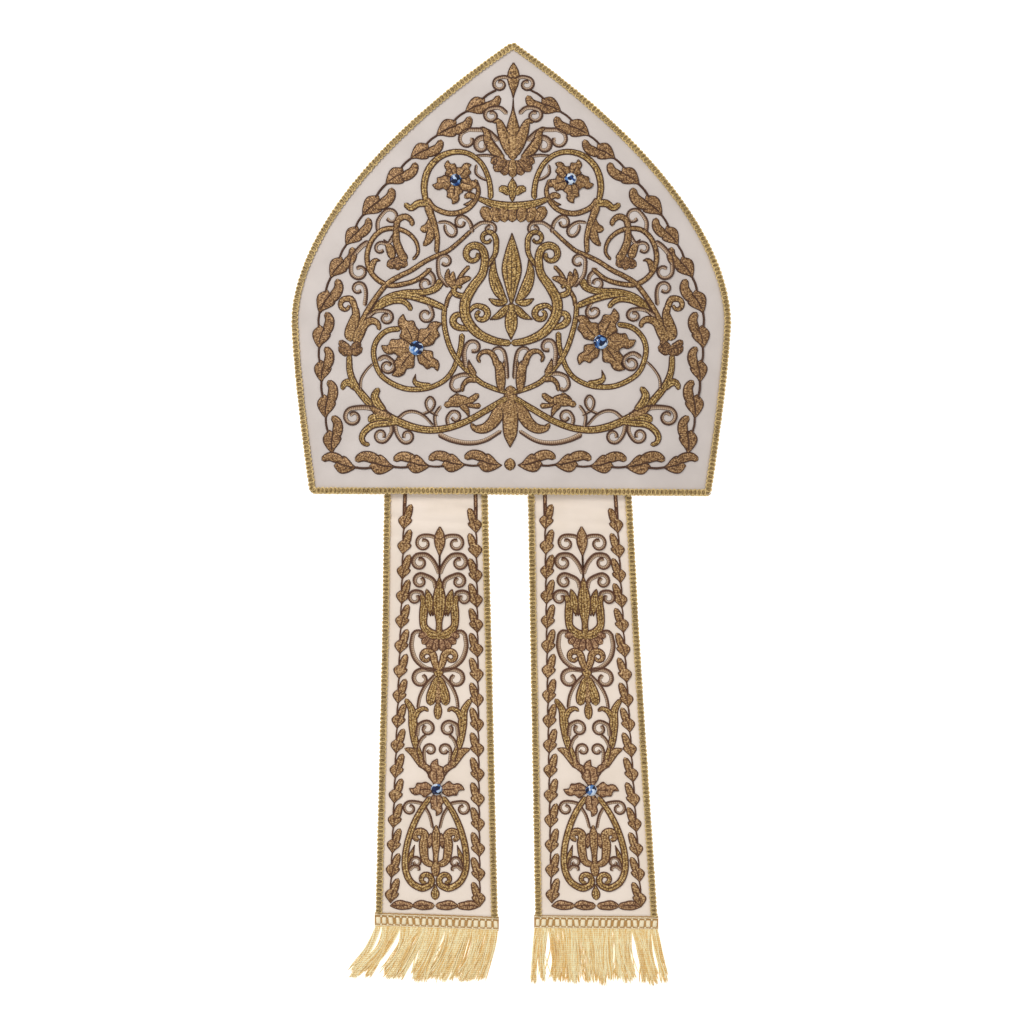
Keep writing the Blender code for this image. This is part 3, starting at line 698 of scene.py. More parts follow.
# the lily and the lyre in the middle, and the bowl that the palmette stands in
lilyAxis = [
    ((1, 9, 15, 10, 1), [(0, 138), (0, 151), (0, 163), (0, 177), (0, 192)]),
    ((4, 9, 9, 1), [(0, 141), (0, 132), (0, 124), (0, 113)]),
    ((2, 6, 7.4, 1), [(0, 215), (0, 221), (0, 227), (0, 233)]),
    ((3.6, 6.4, 7, 6.4, 3.6), [(-27, 218), (-14, 213.4), (0, 211.8), (14, 213.4), (27, 218)]),
]
lilyPairs = [
    ((3, 8.6, 7, 1), [(-3, 140), (-9.5, 150), (-13, 162), (-12, 174)]),
    ((2.6, 5.6, 5, 1), [(-3, 141), (-10, 140.5), (-16, 143.5)]),
    ((2.6, 6.4, 5.2, 1), [(-2, 139), (-7.5, 132), (-15, 128)]),
    ((3, 6.4, 5), [(-2, 220), (-6, 224.5), (-9.5, 223)]),
]
bowlFlutes = [((7, 9, 5), [(x, 211.6), (x * 0.86, 206), (x * 0.72, 200)])
              for x in (-23, -15.5, -7.8, 0, 7.8, 15.5, 23)]
lyreBands = [
    ((5, 7.4, 8.2, 6.6, 6, 3.4), [(0, 110.5), (-12, 112.5), (-24, 118.5), (-32, 129), (-33, 141),
     (-27.5, 152), (-21, 161), (-19, 169)], (-27, 176, 7.8, 1.1)),
    ((3, 6, 3.4), [(-26, 121), (-33, 121.5)], (-37, 128, 5.6, -0.85)),
    ((3, 5.4, 3.2), [(-31, 133), (-26, 138)], (-21.5, 132, 5.6, -1)),
    ((3, 5, 3), [(-28, 150), (-34, 146)], (-38, 150.5, 4.4, -0.75)),
    ((3, 4.6, 2.8), [(-19, 165), (-12, 176), (-11, 185)], (-17, 188, 5.4, 1)),
]
# the photographed half leans a little, and isn't quite the other's mirror image
axisShift = dict(middle=-0.4, side=1.0, over=20.0, lean=0.0035)
# the lower right flower sits a little nearer the axis and higher than its fellow
nudge = dict(x=68.9, height=107.3, right=-4.4, up=4.4, reach=32.0)


def placePanel(side):
    def placed(line):
        x, height = line[:, 0] * -side, line[:, 1]
        near = np.exp(-((x - nudge["x"]) ** 2 + (height - nudge["height"]) ** 2) / nudge["reach"] ** 2)
        x = x + axisShift["middle"] + side * axisShift["side"] * np.minimum(np.abs(x) / axisShift["over"], 1)
        x = x + axisShift["lean"] * height + nudge["right"] * near
        return np.stack(downSight(x, height + nudge["up"] * near), axis=1)
    return placed


# one leaf of a garland, for a step of 26 mm: +x is the inner side and y runs on to the next leaf
panelLeaf = dict(
    stem=[(-0.4, 15), (-0.8, 21), (0, 27)], body=[(0, -0.6), (0.8, 8), (0.4, 17)],
    left=(0.3, 3.4, 5.4, 6.2, 5.2, 0.5), right=(0.3, 2.0, 5.6, 7.8, 4.4, 0.6),
    finger=[(2.6, 9), (6.2, 14.5), (7.4, 21), (4.4, 26.6)], fingerWidths=(4.4, 7.8, 7.2, 4.4),
    vein=[(0, 2), (1.0, 8), (3.6, 15.5)], tone=0.02,
)
lappetLeaf = dict(
    stem=[(-0.6, 13), (-0.8, 20), (0, 27)], body=[(0, -0.6), (0.2, 7), (-0.6, 15)],
    left=(0.3, 3.2, 5.6, 6.6, 5.4, 0.5), right=(0.3, 2.4, 6.0, 8.6, 5.6, 1.0),
    finger=[(2.2, 9), (3.4, 14.5), (5.0, 20.5), (7.2, 25.8)], fingerWidths=(6.0, 8.6, 7.8, 4.4),
    vein=[(0, 2), (0.8, 8), (3.4, 15.5)], tone=0.4,
)
garlandCut = dict(step=26, stem=0.85, vein=0.6, fingerPaler=0.06)


def garland(motifs, bases, leaf, endStem=True):
    # the running leaf: a body and a finger at each base, and the stem to the next
    g = garlandCut
    for (x, y), following in zip(bases, bases[1:]):
        dx, dy = (following[0] - x) / g["step"], (following[1] - y) / g["step"]
        scale = math.hypot(dx, dy)
        placed = lambda spine: [(x + dx * b + dy * a, y + dy * b - dx * a) for a, b in spine]
        sized = lambda widths: [wide * scale for wide in widths]
        if endStem or following is not bases[-1]:
            motifs.stem(g["stem"] * scale, placed(leaf["stem"]))
        motifs.band(sized(leaf["fingerWidths"]), placed(leaf["finger"]), leaf["tone"] + g["fingerPaler"])
        motifs.shape(sized(leaf["left"]), sized(leaf["right"]), placed(leaf["body"]), leaf["tone"])
        motifs.vein(g["vein"] * scale, placed(leaf["vein"]))


def startBeds():
    return dict(gold=newBed(), cord=newBed(), satin=newBed())


def finishBeds(name, beds, thread="metalThread", cord="outlineCord", flip=False):
    finishPiece(name + "_embroidery", beds["gold"], finishes[thread], flip=flip)
    finishPiece(name + "_outline_cord", beds["cord"], finishes[cord], flip=flip)
    finishPiece(name + "_tendrils", beds["satin"], finishes["satinThread"], flip=flip)


def embroiderPanel(name, onCloth, step, flip=False):
    beds = startBeds()
    for side in (-1, 1):
        motifs = Motifs(beds, placePanel(side), onCloth, step, side == 1)
        garland(motifs, rimLeaves, panelLeaf, False)
        garland(motifs, sideLeaves, panelLeaf)
        motifs.tendrils(panelTendrils)
        motifs.bands(panelStems, tones["panelStem"])
        motifs.bands(panelBands + lyreBands, tones["gold"])
        motifs.bands(panelShapes, tones["panelShape"])
        motifs.bands(lilyPairs, tones["gold"])
        motifs.bands(panelShells, tones["panelShell"])
    # what stands on the axis is placed with the half that was drawn last
    motifs.bands(axisShapes, tones["axisShape"])
    motifs.bands(bowlFlutes, tones["bowlFlute"])
    motifs.bands(lilyAxis, tones["gold"])
    finishBeds(name, beds, flip=flip)


# The lappet's embroidery: x is mm from its middle, the other is mm below the rim, negative

lappetBands = [
    ((8, 7.6, 6, 6.6, 6.2, 3.6), [(0, -105.5), (-6.4, -104), (-11.4, -98), (-11.6, -88), (-11.2, -81),
     (-13.6, -74.5)]),
    ((0.8, 4.6, 6.8, 5.4, 1.6), [(-6.4, -91), (-6.8, -87), (-7.2, -83), (-7.8, -77), (-9.6, -70.5)]),
    ((0.8, 4.4, 5.8, 0.8), [(-4.8, -91), (-4.4, -87), (-4.5, -82), (-5, -76)]),
    ((4.6, 5.2, 6.2, 7.2, 6, 3.8), [(-10.5, -199), (-14, -192), (-17, -183), (-18.3, -172), (-19.4, -161),
     (-24.4, -152.5)]),
    ((4.4, 5, 4, 2.4), [(-17.5, -168), (-15, -162), (-10, -159.6), (-7, -162)]),
    ((4, 7.4, 8.4, 5.4), [(-1, -136), (-3.2, -145), (-5.2, -152), (-5.8, -157.5)]),
    ((4.4, 5, 5.2, 5.4, 5.4, 3.4), [(-4.5, -225), (-12, -236), (-18, -249), (-22, -264), (-22.5, -278),
     (-18.5, -288), (-11, -292.8)], (-7.5, -286.8, 5.4, 1.05)),
    ((3.8, 4.4, 0.8), [(-21, -278), (-18.3, -269), (-15.8, -261)]),
]
lappetStems = [
    ((5, 6, 4.8, 2.8), [(0, -132), (-3, -125)], (-8.8, -121.5, 5, 1)),
    ((5, 7, 7, 3.6), [(-1.5, -276), (-7.6, -272.4), (-9.2, -261)], (-12.9, -255, 4.8, 0.85)),
    ((4.6, 6.8, 6.4, 1.6), [(-11, -203), (-14.4, -196.6), (-18.2, -192), (-24.6, -189.4)]),
]
lappetTendrils = [
    ((3.4, 2.2), [(0, -37), (-4.5, -32)], (-11.8, -36.8, 5.8, 1.15)),
    ((3.2, 3.6, 2.2), [(0, -60), (-3.6, -51.5), (-8.6, -46)], (-14.5, -50.8, 5.8, 1.15)),
    ((3.2, 3.4, 2.2), [(-2.5, -71), (-4.5, -64)], (-14, -64.8, 5.2, 1.1)),
    ((3.4, 2.4), [(-12.3, -76), (-13, -73.5)], (-17.8, -77.2, 5, 1)),
    ((3.2, 3.8, 3), [(0, -131), (-9, -129.8), (-17, -123.5), (-20.3, -114), (-19.5, -106)],
     (-14.6, -105.8, 4.8, -0.45)),
    ((3.4, 3.6, 2.4), [(0, -132), (-8, -130.8)], (-12.6, -137.5, 6.6, 0.98)),
    ((3, 2.6), [(-2, -134.5), (-9, -142), (-13.5, -151), (-15, -160)]),
    ((3.6, 2.4), [(-15.5, -181), (-14.5, -173)], (-8, -174.6, 5.6, -1.1)),
    ((3, 2.6), [(-12, -200), (-14.5, -190), (-12, -182.5), (-8, -179)]),
    ((3.4, 2.4), [(-3.4, -211), (-8.4, -203.5), (-9.8, -195.5)], (-5.3, -190.4, 4.4, -1.05)),
    ((3, 2.2), [(-9, -231), (-13, -229.5)], (-19.6, -233.8, 5, 1.1)),
    ((2.6, 2.4), [(-9, -232), (-5, -239), (-2.5, -249)]),
    ((2.6, 2.2), [(-20, -278), (-18.5, -273)], (-14.5, -273.8, 4, -1)),
    ((3.4, 2.6), [(-20, -280), (-17, -277)], (-14, -279.4, 2.8, -0.4)),
]
lappetShapes = [
    ((1.4, 6, 4.8, 1), [(-8, -205), (-12, -199), (-13.5, -192)]),
    ((2, 5.6, 4.6, 1.2), [(-4, -207), (-9, -203), (-14, -202.5)]),
    ((0.8, 4.4, 4.6, 1), [(-4.8, -263.5), (-4.4, -258.5), (-3.8, -252)]),
]
lappetShells = [
    ((3.2, 5.4, 5), [(-8, -103.5), (-11.4, -105), (-15.4, -106.2)]),
    ((3.2, 5.6, 5.2), [(-6.4, -105), (-9.4, -108.5), (-12.6, -111.8)]),
    ((3.2, 5.6, 5.2), [(-4.6, -106.5), (-6.4, -111), (-8.2, -115.4)]),
    ((3.2, 5.6, 5.2), [(-1.6, -107), (-2.4, -112), (-3, -117.4)]),
]
# on the axis itself, each with its own tone
lappetAxisShapes = [
    ((0.6, 4.4, 7.8, 8.6, 6.4, 1.4), [(0, -47), (0, -41.5), (0, -36.5), (0, -32), (0, -28), (0, -24.5)],
     0.35),
    ((6, 5, 8.6, 10, 6.8, 0.6), [(0, -105), (0, -96), (0, -87), (0, -78), (0, -69), (0, -60.5)], 0.9),
    ((7, 9, 4), [(0, -100), (0, -104), (0, -109)], 0.9),
    ((4, 8, 4), [(0, -128.5), (0, -132), (0, -137)], 0.9),
    ((3, 5.4, 5.8, 3), [(0, -137), (0, -144), (0, -150), (0, -157)], 0.3),
    ((3.4, 6.6, 3.6), [(0, -155), (0, -161), (0, -168)], 0.8),
    ((2, 7, 6.4, 4.4, 4.4), [(0, -246), (0, -254), (0, -262), (0, -269), (0, -276)], 0.5),
    ((3, 7.4, 4), [(0, -272), (0, -278.5), (0, -284.5)], 0.5),
    ((1.2, 3.6, 6.6, 6.2, 2.4), [(0, -290), (0, -293), (0, -296.5), (0, -299.6), (0, -302)], 1),
]
# the leaves along the foot, each from its point to its round end
footLeaves = dict(ends=[(-33.4, -16.0), (-17.6, -0.2)], height=-306.0, vein=0.5,
                  widths=(0.8, 4.8, 7.2, 7.6, 6.6, 5.6, 3.0))
# the garlands down the sides: mm out from the middle, how far they spread, their tops and their steps
sideGarland = dict(out=26.5, spread=6.5, leftTop=-26.5, rightTop=-29.0, step=18.5, leaves=15, stem=0.8)


def embroiderLappet(name, lappet, step):
    beds = startBeds()
    g = sideGarland
    onCloth = lambda x, height, lift: onLappet(lappet, x, -height, lift)
    for side in (-1, 1):
        placed = lambda line: np.stack([line[:, 0] * -side + lappet["axis"] + lappet["lean"] * line[:, 1],
                                        line[:, 1] - lappet["down"]], axis=1)
        motifs = Motifs(beds, placed, onCloth, step, side == 1)
        first = g["leftTop"] if side < 0 else g["rightTop"]
        bases = [(-g["out"] - g["spread"] * n / g["leaves"], first - g["step"] * n)
                 for n in range(g["leaves"], -2, -1)]
        garland(motifs, bases, lappetLeaf)
        motifs.band((2.8, 3.0, 3.0), [(-26.4, first + 8), (-26.2, first + 18), (-25.8, 3)], tones["topStem"])
        for point, end in footLeaves["ends"]:
            spot = lambda share, up: (point + (end - point) * share, footLeaves["height"] + up)
            motifs.band(footLeaves["widths"], [spot(0, -0.4), spot(0.35, 0.5), spot(0.7, 0), spot(1, 0)],
                        tones["footLeaf"])
            motifs.vein(footLeaves["vein"], [spot(0.1, -0.2), spot(0.45, 0.5), spot(0.8, 0.1)])
        motifs.stem(g["stem"], [(0, -62), (0, -54), (0, -46)])
        motifs.tendrils(lappetTendrils)
        motifs.bands(lappetStems, tones["lappetStem"])
        motifs.bands(lappetBands, tones["gold"])
        motifs.bands(lappetShapes, tones["lappetShape"])
        motifs.bands(lappetShells, tones["lappetShell"])
    for widths, points, tone in lappetAxisShapes:
        motifs.band(widths, points, tone)
    finishBeds(name, beds, "paleThread", "paleCord")


# The raised flowers round the stones: for each petal its turn from +x in degrees and its reach
petals = dict(
    lower=[(112, 26.7), (45, 26.2), (-45, 23.2), (-130, 26.4), (177, 25.4)],
    upper=[(112, 15.6), (46, 16.2), (-20, 17.8), (-96, 17.8), (193, 17.2)],
    lappet=[(90, 22.5), (0, 20.5), (-90, 19.8), (180, 20.5)],
)
# half widths along a petal, as shares of its reach: shoulders at both its sides, then the hooked point
petalCut = dict(left=(0.05, 0.12, 0.21, 0.30, 0.29, 0.17, 0.17, 0.11, 0.02),
                right=(0.05, 0.12, 0.21, 0.27, 0.24, 0.27, 0.15, 0.09, 0.02), hook=0.06, centre=10.5,
                tone=0.12, step=1.1, vein=0.5, lift=0.35, broad=dict(lower=1.0, upper=1.22, lappet=1.0))


def makeFlower(name, kind, x, height, onCloth, mirrored):
    beds = dict(gold=newBed(), cord=newBed())
    thread, cord = ("paleThread", "paleCord") if kind == "lappet" else ("metalThread", "outlineCord")
    p = petalCut
    lifted = lambda a, b, lift: onCloth(a, b, lift + p["lift"])
    motifs = Motifs(beds, lambda line: line, lifted, p["step"], mirrored)
    for turn, reach in petals[kind]:
        turn = math.radians(180 - turn if mirrored else turn)
        hook = -p["hook"] * reach if mirrored else p["hook"] * reach
        spot = lambda out, across: (x + out * reach * math.cos(turn) - across * math.sin(turn),
                                    height + out * reach * math.sin(turn) + across * math.cos(turn))
        left, right = [[share * reach * p["broad"][kind] for share in p[side]] for side in ("left", "right")]
        middle = [spot(0.04, 0), spot(0.5, 0), spot(0.8, hook), spot(1.0, -hook * 0.4)]
        motifs.shape(left, right, middle, p["tone"], 1)
        motifs.vein(p["vein"], [spot(0.22, 0), spot(0.45, 0), spot(0.66, hook * 0.4)])
    motifs.band((p["centre"],) * 3, [(x - 0.4, height), (x, height), (x + 0.4, height)], p["tone"])
    name = "flower_" + name
    finishPiece(name + "_petals", beds["gold"], finishes[thread], [name])
    finishPiece(name + "_cord", beds["cord"], finishes[cord])


# Cloth

clothGrids = dict(back=(130, 140), front=(60, 90), lappet=(40, 170), gusset=70)


def makeCloth():
    def back(u, v):
        height = cut["height"] * v
        return onBack((2 * u - 1) * halfWidth(height), height, -cut["wall"])

    def front(u, v):
        height = cut["height"] * v
        return onFront((1 - 2 * u) * halfWidth(height), height, -cut["wall"])

    backCloth = sheetPiece("back_panel_cloth", *clothGrids["back"], back, cut["wall"], finishes["panelSilk"],
                           "cream_cloth", ["back_panel"])
    frontCloth = sheetPiece("front_panel_cloth", *clothGrids["front"], front, cut["wall"],
                            finishes["panelSilk"], "cream_cloth", ["front_panel"])


def makeLappetCloth(name, lappet):
    c = lappetCut
    whole = c["length"] + c["tuck"]

    def laid(u, v):
        drop = -c["tuck"] + whole * (1 - v)
        x = (1 - 2 * u) * lappetHalf(drop)
        # the foot is cut a little askew, and the rest less and less so
        return onLappet(lappet, x, drop - lappet["foot"] * x * (1 - v) ** 6, 0.0)

    piece = sheetPiece(name + "_cloth", *clothGrids["lappet"], laid, c["clothWall"], finishes["lappetSilk"],
                       "cream_cloth", [name])


gussetCut = dict(wall=1.0, clothWall=0.9, inset=7.0, fold=146.0, room=1.2, leafRows=50, foldRows=24,
                 pucker=0.35, clear=0.25, width=300.0, foldWidth=280.0, foldLength=33.0)


def makeGusset():
    # two leaves against the peaks' inner faces, joined by a round fold across the shoulders
    g = gussetCut
    leafRows = g["leafRows"]
    rows = 2 * leafRows + g["foldRows"]
    lining = 2 * (g["wall"] + cut["gap"]) + g["room"]

    def gussetHalf(height):
        crest = backInner - frontHigh[2] + bow(0 * height, height)
        pinch = cut["half"] * np.sqrt(np.maximum(1 - lining / crest, 0))
        return np.minimum(halfWidth(height) - g["inset"], pinch)

    top = cut["height"] - g["inset"] - 2 * cut["wall"]
    while gussetHalf(np.array(top)) < g["inset"] / 2:
        top -= 1
    leaf = top - g["fold"]

    def laid(u, v):
        row = np.round(v * rows)
        height = top - leaf * np.minimum(np.minimum(row, rows - row), leafRows) / leafRows
        x = (1 - 2 * u) * gussetHalf(height)
        puckers = g["pucker"] * (1 + np.sin(x / 7.0 + height / 19.0)) * smooth((300 - height) / 120)
        low = frontHigh[2] + cut["gap"] + puckers
        high = backInner + bow(x, height) - cut["gap"] - puckers - g["clear"]
        # half a turn from the lower leaf to the upper one
        turn = np.clip(math.pi * (row - leafRows) / g["foldRows"], 0, math.pi)
        radius = (high - low) / 2
        inFold = (row > leafRows) & (row < rows - leafRows)
        z = np.where(inFold, low + radius * (1 - np.cos(turn)), np.where(row <= leafRows, low, high))
        bulge = np.where(inFold, radius * np.sin(turn), 0.0)
        return np.stack([x, rimY + height - bulge, z], axis=1) * mm

    piece = sheetPiece("crown_gusset_cloth", clothGrids["gusset"], rows, laid, g["clothWall"],
                       finishes["liningSilk"], "lining_cloth", ["crown_gusset"])
    area = 2 * float(np.mean(2 * gussetHalf(np.linspace(g["fold"], top, 200)))) * leaf * mm * mm
    area += g["foldWidth"] * g["foldLength"] * mm * mm


# Braid: a flat tape with two scrolling cords worked over it, so that loops show at both its edges

braidCut = dict(width=5.2, tapeHalf=2.0, overhang=1.0, tape=0.7, cord=0.56, loop=6.2, swing=2.2, lag=-0.42,
                step=0.5, tapeEvery=3, uneven=0.16, tapeTone=0.34, cross=0.14)


def panelEdge():
    # the middle line of the braid round a panel, closed, with its corners eased
    heights = np.linspace(0, cut["height"], 900)
    right = np.stack([halfWidth(heights), heights], axis=1)
    left = (right * [-1, 1])[::-1]
    rim = np.stack([np.linspace(-cut["rimHalf"], cut["rimHalf"], 600), np.zeros(600)], axis=1)
    ring = evenSteps(np.vstack([rim[:-1], right[:-1], left[:-1]]), 0.5)[:-1]
    # the same band as in the solid: its outer edge stands past the cloth, its middle lies on it
    inward = braidCut["width"] / 2 - braidCut["overhang"]
    ahead = np.roll(ring, -1, axis=0) - np.roll(ring, 1, axis=0)
    ahead /= np.linalg.norm(ahead, axis=1)[:, None]
    ring = ring + np.stack([-ahead[:, 1], ahead[:, 0]], axis=1) * inward
    for _ in range(12):
        ring = (np.roll(ring, -1, axis=0) + ring * 2 + np.roll(ring, 1, axis=0)) / 4
    return np.vstack([ring, ring[:1]])


def addTube(bed, points, radius, sides, along, chance, squash=1.0):
    # a round cord through the points, in metres; its seam is welded afterwards
    ahead = np.gradient(points, axis=0)
    ahead /= np.maximum(np.linalg.norm(ahead, axis=1), 1e-12)[:, None]
    beside = np.cross(ahead, [0.0, 0.0, 1.0])
    beside /= np.maximum(np.linalg.norm(beside, axis=1), 1e-9)[:, None]
    up = np.cross(beside, ahead)

    def place(across, number):
        angle = -across / sides * 2 * math.pi
        reach = radius[number][:, None]
        spots = points[number] + reach * (np.cos(angle)[:, None] * beside[number]
                                          + np.sin(angle)[:, None] * up[number] * squash)
        return spots, np.stack([angle, along[number], np.broadcast_to(chance, len(points))[number]], axis=1)

    addPatch(bed, sides, len(points) - 1, place)


def makeBraid(name, line, onCloth, closed, replaced, flip=False):
    b = braidCut
    bedLift = cut["gap"]
    bed = newBed()
    fine = evenSteps(line, b["step"])
    loops = round(len(fine) * b["step"] / b["loop"])
    share = np.linspace(0, 1, len(fine))
    ahead = np.gradient(fine, axis=0)
    if closed:
        ahead[0] = ahead[-1] = ahead[0] + ahead[-1]
    ahead /= np.linalg.norm(ahead, axis=1)[:, None]
    right = np.stack([ahead[:, 1], -ahead[:, 0]], axis=1)
    along = share * loops * b["loop"]
    coarse = np.arange(0, len(fine), b["tapeEvery"])
    if coarse[-1] != len(fine) - 1:
        coarse = np.append(coarse, len(fine) - 1)

    def tape(across, number):
        number = coarse[number]
        offset = np.array([-1, -1, -0.6, 0.6, 1, 1])[across] * b["tapeHalf"]
        high = np.array([0.02, 0.45, 0.7, 0.7, 0.45, 0.02])[across] * b["tape"] + bedLift
        spot = fine[number] + right[number] * offset[:, None]
        # the tape is darker than the cords where it shows in the holes between the loops: its own colour, and
        # painted shade in those holes too
        carried = np.stack([offset, along[number], b["tapeTone"] + 0 * offset], axis=1)
        return onCloth(spot[:, 0], spot[:, 1], high), carried

    addPatch(bed, 5, len(coarse) - 1, tape)
    for phase in (0, math.pi):
        turn = share * loops * 2 * math.pi + phase
        # each loop is drawn a little wider or paler than the next
        uneven = [random.uniform(-1, 1) * b["uneven"] for _ in range(loops)]
        uneven = np.interp(share * loops, np.arange(loops) + 0.5, uneven, period=loops)
        offset = b["swing"] * (1 + uneven * 0.6) * np.sin(turn)
        lag = b["lag"] * np.sin(2 * turn)
        spot = fine + right * offset[:, None] + ahead * lag[:, None]
        # one cord climbs over the other where they cross
        high = bedLift + b["tape"] * 0.75 + b["cord"] * 0.55 + b["cross"] * np.cos(turn)
        points = onCloth(spot[:, 0], spot[:, 1], high)
        # the cords are painted paler where they loop out to the braid's edges and darker where they cross in
        # its middle: painted light on the loops and painted shade at the crossings
        pale = 0.5 + uneven + 0.25 * np.abs(np.sin(turn))
        addTube(bed, points, np.full(len(fine), b["cord"] * mm), 5, along, pale)
    finishPiece(name, bed, finishes["gimp"], replaced, weld=0.002, flip=flip)


# Fringe: a woven head with satin blocks, and below it twisted strands that hang together in locks

fringeCut = dict(head=10.4, overhang=1.6, drop=39.0, blocks=19, edge=0.4, tape=1.1,
                 blockHigh=1.35, blockHalf=2.6, bead=0.75, beadIn=2.2, cordLift=1.25)
# the head's long cords: mm below its top, radius and tone
headCords = ((-0.1, 0.5, -0.5), (0.9, 0.6, 0.65), (2.2, 0.34, -0.2), (7.8, 0.3, 0.3), (9.1, 0.5, 0.8))
# how the locks differ, then the strands within a lock: shares, and in mm how far they stray from one another
strandCut = dict(perLock=27, points=17, radius=0.47, tableTop=0.52, inset=0.6, start=9.1, drawn=(-0.1, 0.4),
                 partedDrawn=0.45, lockSwing=1.5, longer=1.2, lockBend=1.6, swing=1.1, strayShare=0.08,
                 straySwing=5.0, shorter=8.0, bend=0.8, wave=0.45, rise=(0.5, 2.7), thick=(0.8, 1.15))
# the outermost locks of the left fringe have parted from the rest: how far each has swung out
parted = dict(left_fringe=[-5.0, -4.5, -1.0, -2.5, 0.0], right_fringe=[-4.0, -2.0])


def onHead(lappet, x, drop, high):
    # the head's own plane: mm across from its middle, mm down from its top, mm above the table
    foot = lappetCut["length"] + cut["gap"]
    middle = lappetMiddle(lappet, lappetCut["length"])
    return np.stack([middle + x, rimY - foot - drop + lappet["foot"] * x, high + 0 * x], axis=-1) * mm


def makeFringeHead(name, lappet, half):
    f = fringeCut
    head = newBed()

    def cloth(across, along):
        x = (across / 30 * 2 - 1) * half
        drop = (1 - along / 4) * (f["head"] - 2 * f["edge"]) + f["edge"]
        return onHead(lappet, x, drop, f["tape"]), np.stack([x, drop, 0 * x - 0.6], axis=1)

    addPatch(head, 30, 4, cloth)
    pitch = 2 * half / f["blocks"]
    for number in range(f["blocks"]):
        x0 = -half + pitch * (number + 0.5)
        shift, broad, slant = random.uniform(-0.3, 0.3), random.uniform(0.26, 0.36), random.uniform(-0.4, 0.4)
        pale = random.uniform(0.9, 1.35)

        def block(across, along):
            u, v = across / 6 * 2 - 1, along / 6 * 2 - 1
            x = x0 + shift + np.sign(u) * np.abs(u) ** 0.8 * pitch * broad + v * slant
            high = f["tape"] + f["blockHigh"] * (1 - u ** 4) * (1 - v ** 6)
            points = onHead(lappet, x, f["head"] * 0.5 - v * f["blockHalf"], high)
            return points, np.stack([u, v * 4, pale + 0 * u], axis=1)

        addPatch(head, 6, 6, block)
        if number == f["blocks"] - 1:
            break
        # a bead above and one below between this block and the next
        for drop in (f["beadIn"], f["head"] - f["beadIn"]):

            def bead(across, along):
                turn, rise = across / 8 * 2 * math.pi, along / 4 * math.pi / 2
                x = x0 + pitch / 2 + np.cos(turn) * np.cos(rise) * f["bead"]
                y = drop + np.sin(turn) * np.cos(rise) * f["bead"]
                points = onHead(lappet, x, y, 1.2 + np.sin(rise))
                return points, np.stack([turn, rise, 0.9 + 0 * turn], axis=1)

            addPatch(head, 8, 4, bead)
    x = np.linspace(-half, half, 160)
    for drop, radius, tone in headCords:
        points = onHead(lappet, x, drop + 0.12 * np.sin(x * 1.3), f["cordLift"] + 0.1 * np.sin(x * 2.1))
        addTube(head, points, np.full(len(x), radius * mm), 6, x, tone)
    finishPiece(name + "_head", head, finishes["fringeHead"], [name], weld=0.002)


def makeStrands(name, lappet, half):
    f, s = fringeCut, strandCut
    strands = newBed()
    # t runs down a strand
    t = np.linspace(0, 1, s["points"])
    for lock in range(f["blocks"]):
        place = (lock + 0.5) / f["blocks"]
        sweep = lappet["sweepLow"] + (lappet["sweepHigh"] - lappet["sweepLow"]) * place
        sweep += random.gauss(0, s["lockSwing"])
        isParted = lock < len(parted[name])
        if isParted:
            sweep += parted[name][lock]
        drawn = s["partedDrawn"] if isParted else random.uniform(*s["drawn"])
        longer, bend = random.gauss(0, s["longer"]), random.gauss(0, s["lockBend"])
        for number in range(s["perLock"]):
            aside = random.uniform(-0.5, 0.5)
            stray = random.random() < s["strayShare"]
            swing = sweep + random.gauss(0, s["swing"]) + (random.gauss(0, s["straySwing"]) if stray else 0)
            shorter = s["shorter"] * random.random() ** 1.6
            reach = f["drop"] + 2.5 + longer - shorter - abs(swing) * 0.12
            bow = bend + random.gauss(0, s["bend"])
            root = -half + s["inset"] + (lock + 0.5 + aside) / f["blocks"] * 2 * (half - s["inset"])
            # the lock draws together, swings aside and bows, and each strand waves a little
            x = root - drawn * smooth(t * 1.3) * aside * 2 * half / f["blocks"]
            x = x + swing * (0.55 * t ** 1.7 + 0.45 * t) + bow * np.sin(t * math.pi)
            x = x + s["wave"] * np.sin(t * random.uniform(6, 13) + random.uniform(0, 6)) * t
            high = 1.5 + (random.uniform(*s["rise"]) - 1.5) * smooth(t * 2.4)
            high = high + 0.2 * np.sin(t * 7 + aside * 12)
            points = onHead(lappet, x, s["start"] + reach * t, np.maximum(high, s["tableTop"]))
            radius = s["radius"] * mm * random.uniform(*s["thick"]) * np.sqrt(np.clip((1 - t) * 16, 0.02, 1))
            addTube(strands, points, radius, 5, t * reach, random.random())
    finishPiece(name + "_strands", strands, finishes["fringe"], weld=0.002)


# Putting it together

makeCloth()
makeGusset()
for word, lappet in lappets.items():
    makeLappetCloth(word + "_lappet", lappet)
print("cloth laid")

embroiderPanel("back_panel", onBack, stitchCut["step"])
embroiderPanel("front_panel", onFront, stitchCut["frontStep"], flip=True)
for word, lappet in lappets.items():
    embroiderLappet(word + "_lappet", lappet, stitchCut["step"])
print("embroidery worked")

for kind in ("lower", "upper"):
    for word in (kind + "_left", kind + "_right"):
        low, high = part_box("stone_" + word)
        x, y = (low[0] + high[0]) / 2 / mm, (low[1] + high[1]) / 2 / mm - rimY
        makeFlower(word, kind, x, y, onBack, x > 0)
for word, lappet in lappets.items():
    low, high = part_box("stone_" + word + "_lappet")
    drop = rimY - (low[1] + high[1]) / 2 / mm
    x = (low[0] + high[0]) / 2 / mm - lappetMiddle(lappet, drop)
    makeFlower(word + "_lappet", "lappet", x, -drop,
               lambda a, b, lift, lappet=lappet: onLappet(lappet, a, -b, lift), False)
for name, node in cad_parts.items():
    if name.startswith("stone_"):
        node.data.materials.clear()
        node.data.materials.append(finishes["glass"])
print("flowers and stones set")

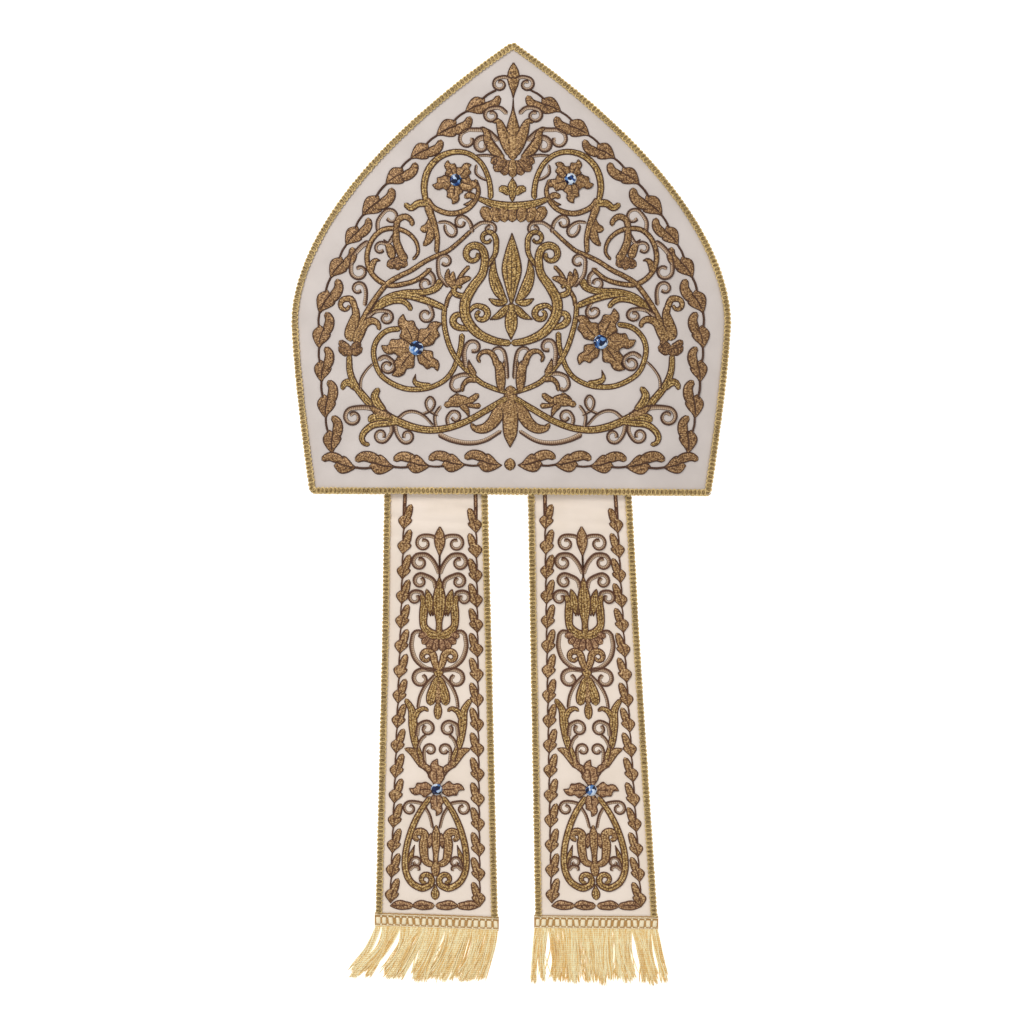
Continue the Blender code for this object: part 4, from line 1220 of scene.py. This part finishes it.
edge = panelEdge()
makeBraid("back_panel_gimp", edge, onBack, True, ["back_braid"])
makeBraid("front_panel_gimp", edge, onFront, True, ["front_braid"], flip=True)
for word, lappet in lappets.items():
    for side, sideWord in ((-1, "left"), (1, "right")):
        skew = lappet["foot"] * side * lappetHalf(lappetCut["length"])
        drops = np.linspace(-lappetCut["braidTuck"], lappetCut["length"] - skew, 700)
        x = side * (lappetHalf(drops) + braidCut["overhang"] - braidCut["width"] / 2)
        makeBraid(f"{word}_lappet_gimp_{sideWord}", np.stack([x, -drops], axis=1),
                  lambda a, b, lift, lappet=lappet: onLappet(lappet, a, -b, lift), False,
                  [f"{word}_lappet_braid_{sideWord}"])
for word, lappet in lappets.items():
    half = lappetHalf(lappetCut["length"]) + fringeCut["overhang"]
    makeFringeHead(word + "_fringe", lappet, half)
    makeStrands(word + "_fringe", lappet, half)
print("braid and fringe made")


# Table, light and camera

stageCut = dict(tableHalf=6.0, tableLow=0.3, tableGlow=0.65, worldGlow=0.52, aim=(0.0, 0.05, 0.0))
lamps = dict(key=dict(place=(-0.9, 1.1, 1.9), size=0.7, power=22),
             fill=dict(place=(1.2, -0.6, 1.8), size=1.4, power=6))


def makeStage():
    s = stageCut
    table = bmesh.new()
    bmesh.ops.create_grid(table, x_segments=1, y_segments=1, size=s["tableHalf"])
    data = bpy.data.meshes.new("table")
    for vert in table.verts:
        vert.co.z = -s["tableLow"] * mm
    table.to_mesh(data)
    table.free()
    top = bpy.data.objects.new("table", data)
    bpy.context.scene.collection.objects.link(top)
    # a table of white acrylic lit from below, as pictures without a shadow are taken: it stays white all over
    matt = startMaterial("litAcrylic", 0.9, Base_Color=fromHex("F7F7F7"), Emission_Color=fromHex("FFFFFF"),
                         Emission_Strength=s["tableGlow"])[0]
    data.materials.append(matt)
    world = bpy.data.worlds.new("studio")
    bpy.context.scene.world = world
    world.use_nodes = True
    ground = world.node_tree.nodes["Background"]
    ground.inputs["Color"].default_value = (1, 1, 1, 1)
    ground.inputs["Strength"].default_value = s["worldGlow"]
    for name, given in lamps.items():
        lamp = bpy.data.lights.new(name, "AREA")
        lamp.size = given["size"]
        lamp.energy = given["power"]
        light = bpy.data.objects.new(name, lamp)
        light.location = given["place"]
        aim = np.array(s["aim"]) - np.array(given["place"])
        flat = math.hypot(aim[0], aim[1])
        light.rotation_euler = (math.atan2(flat, -aim[2]), 0, math.atan2(-aim[0], aim[1]))
        bpy.context.scene.collection.objects.link(light)


def makeCamera():
    camera = bpy.data.cameras.new("camera")
    camera.lens = shot["lens"]
    camera.sensor_width = shot["film"]
    made = bpy.data.objects.new("camera", camera)
    made.location = (shot["x"] * mm, (rimY + shot["belowRim"]) * mm, (shot["level"] + shot["distance"]) * mm)
    made.rotation_euler.z = shot["turn"]
    bpy.context.scene.collection.objects.link(made)
    bpy.context.scene.camera = made


makeStage()
makeCamera()
bpy.context.scene.view_settings.view_transform = "Standard"
print("stage set")
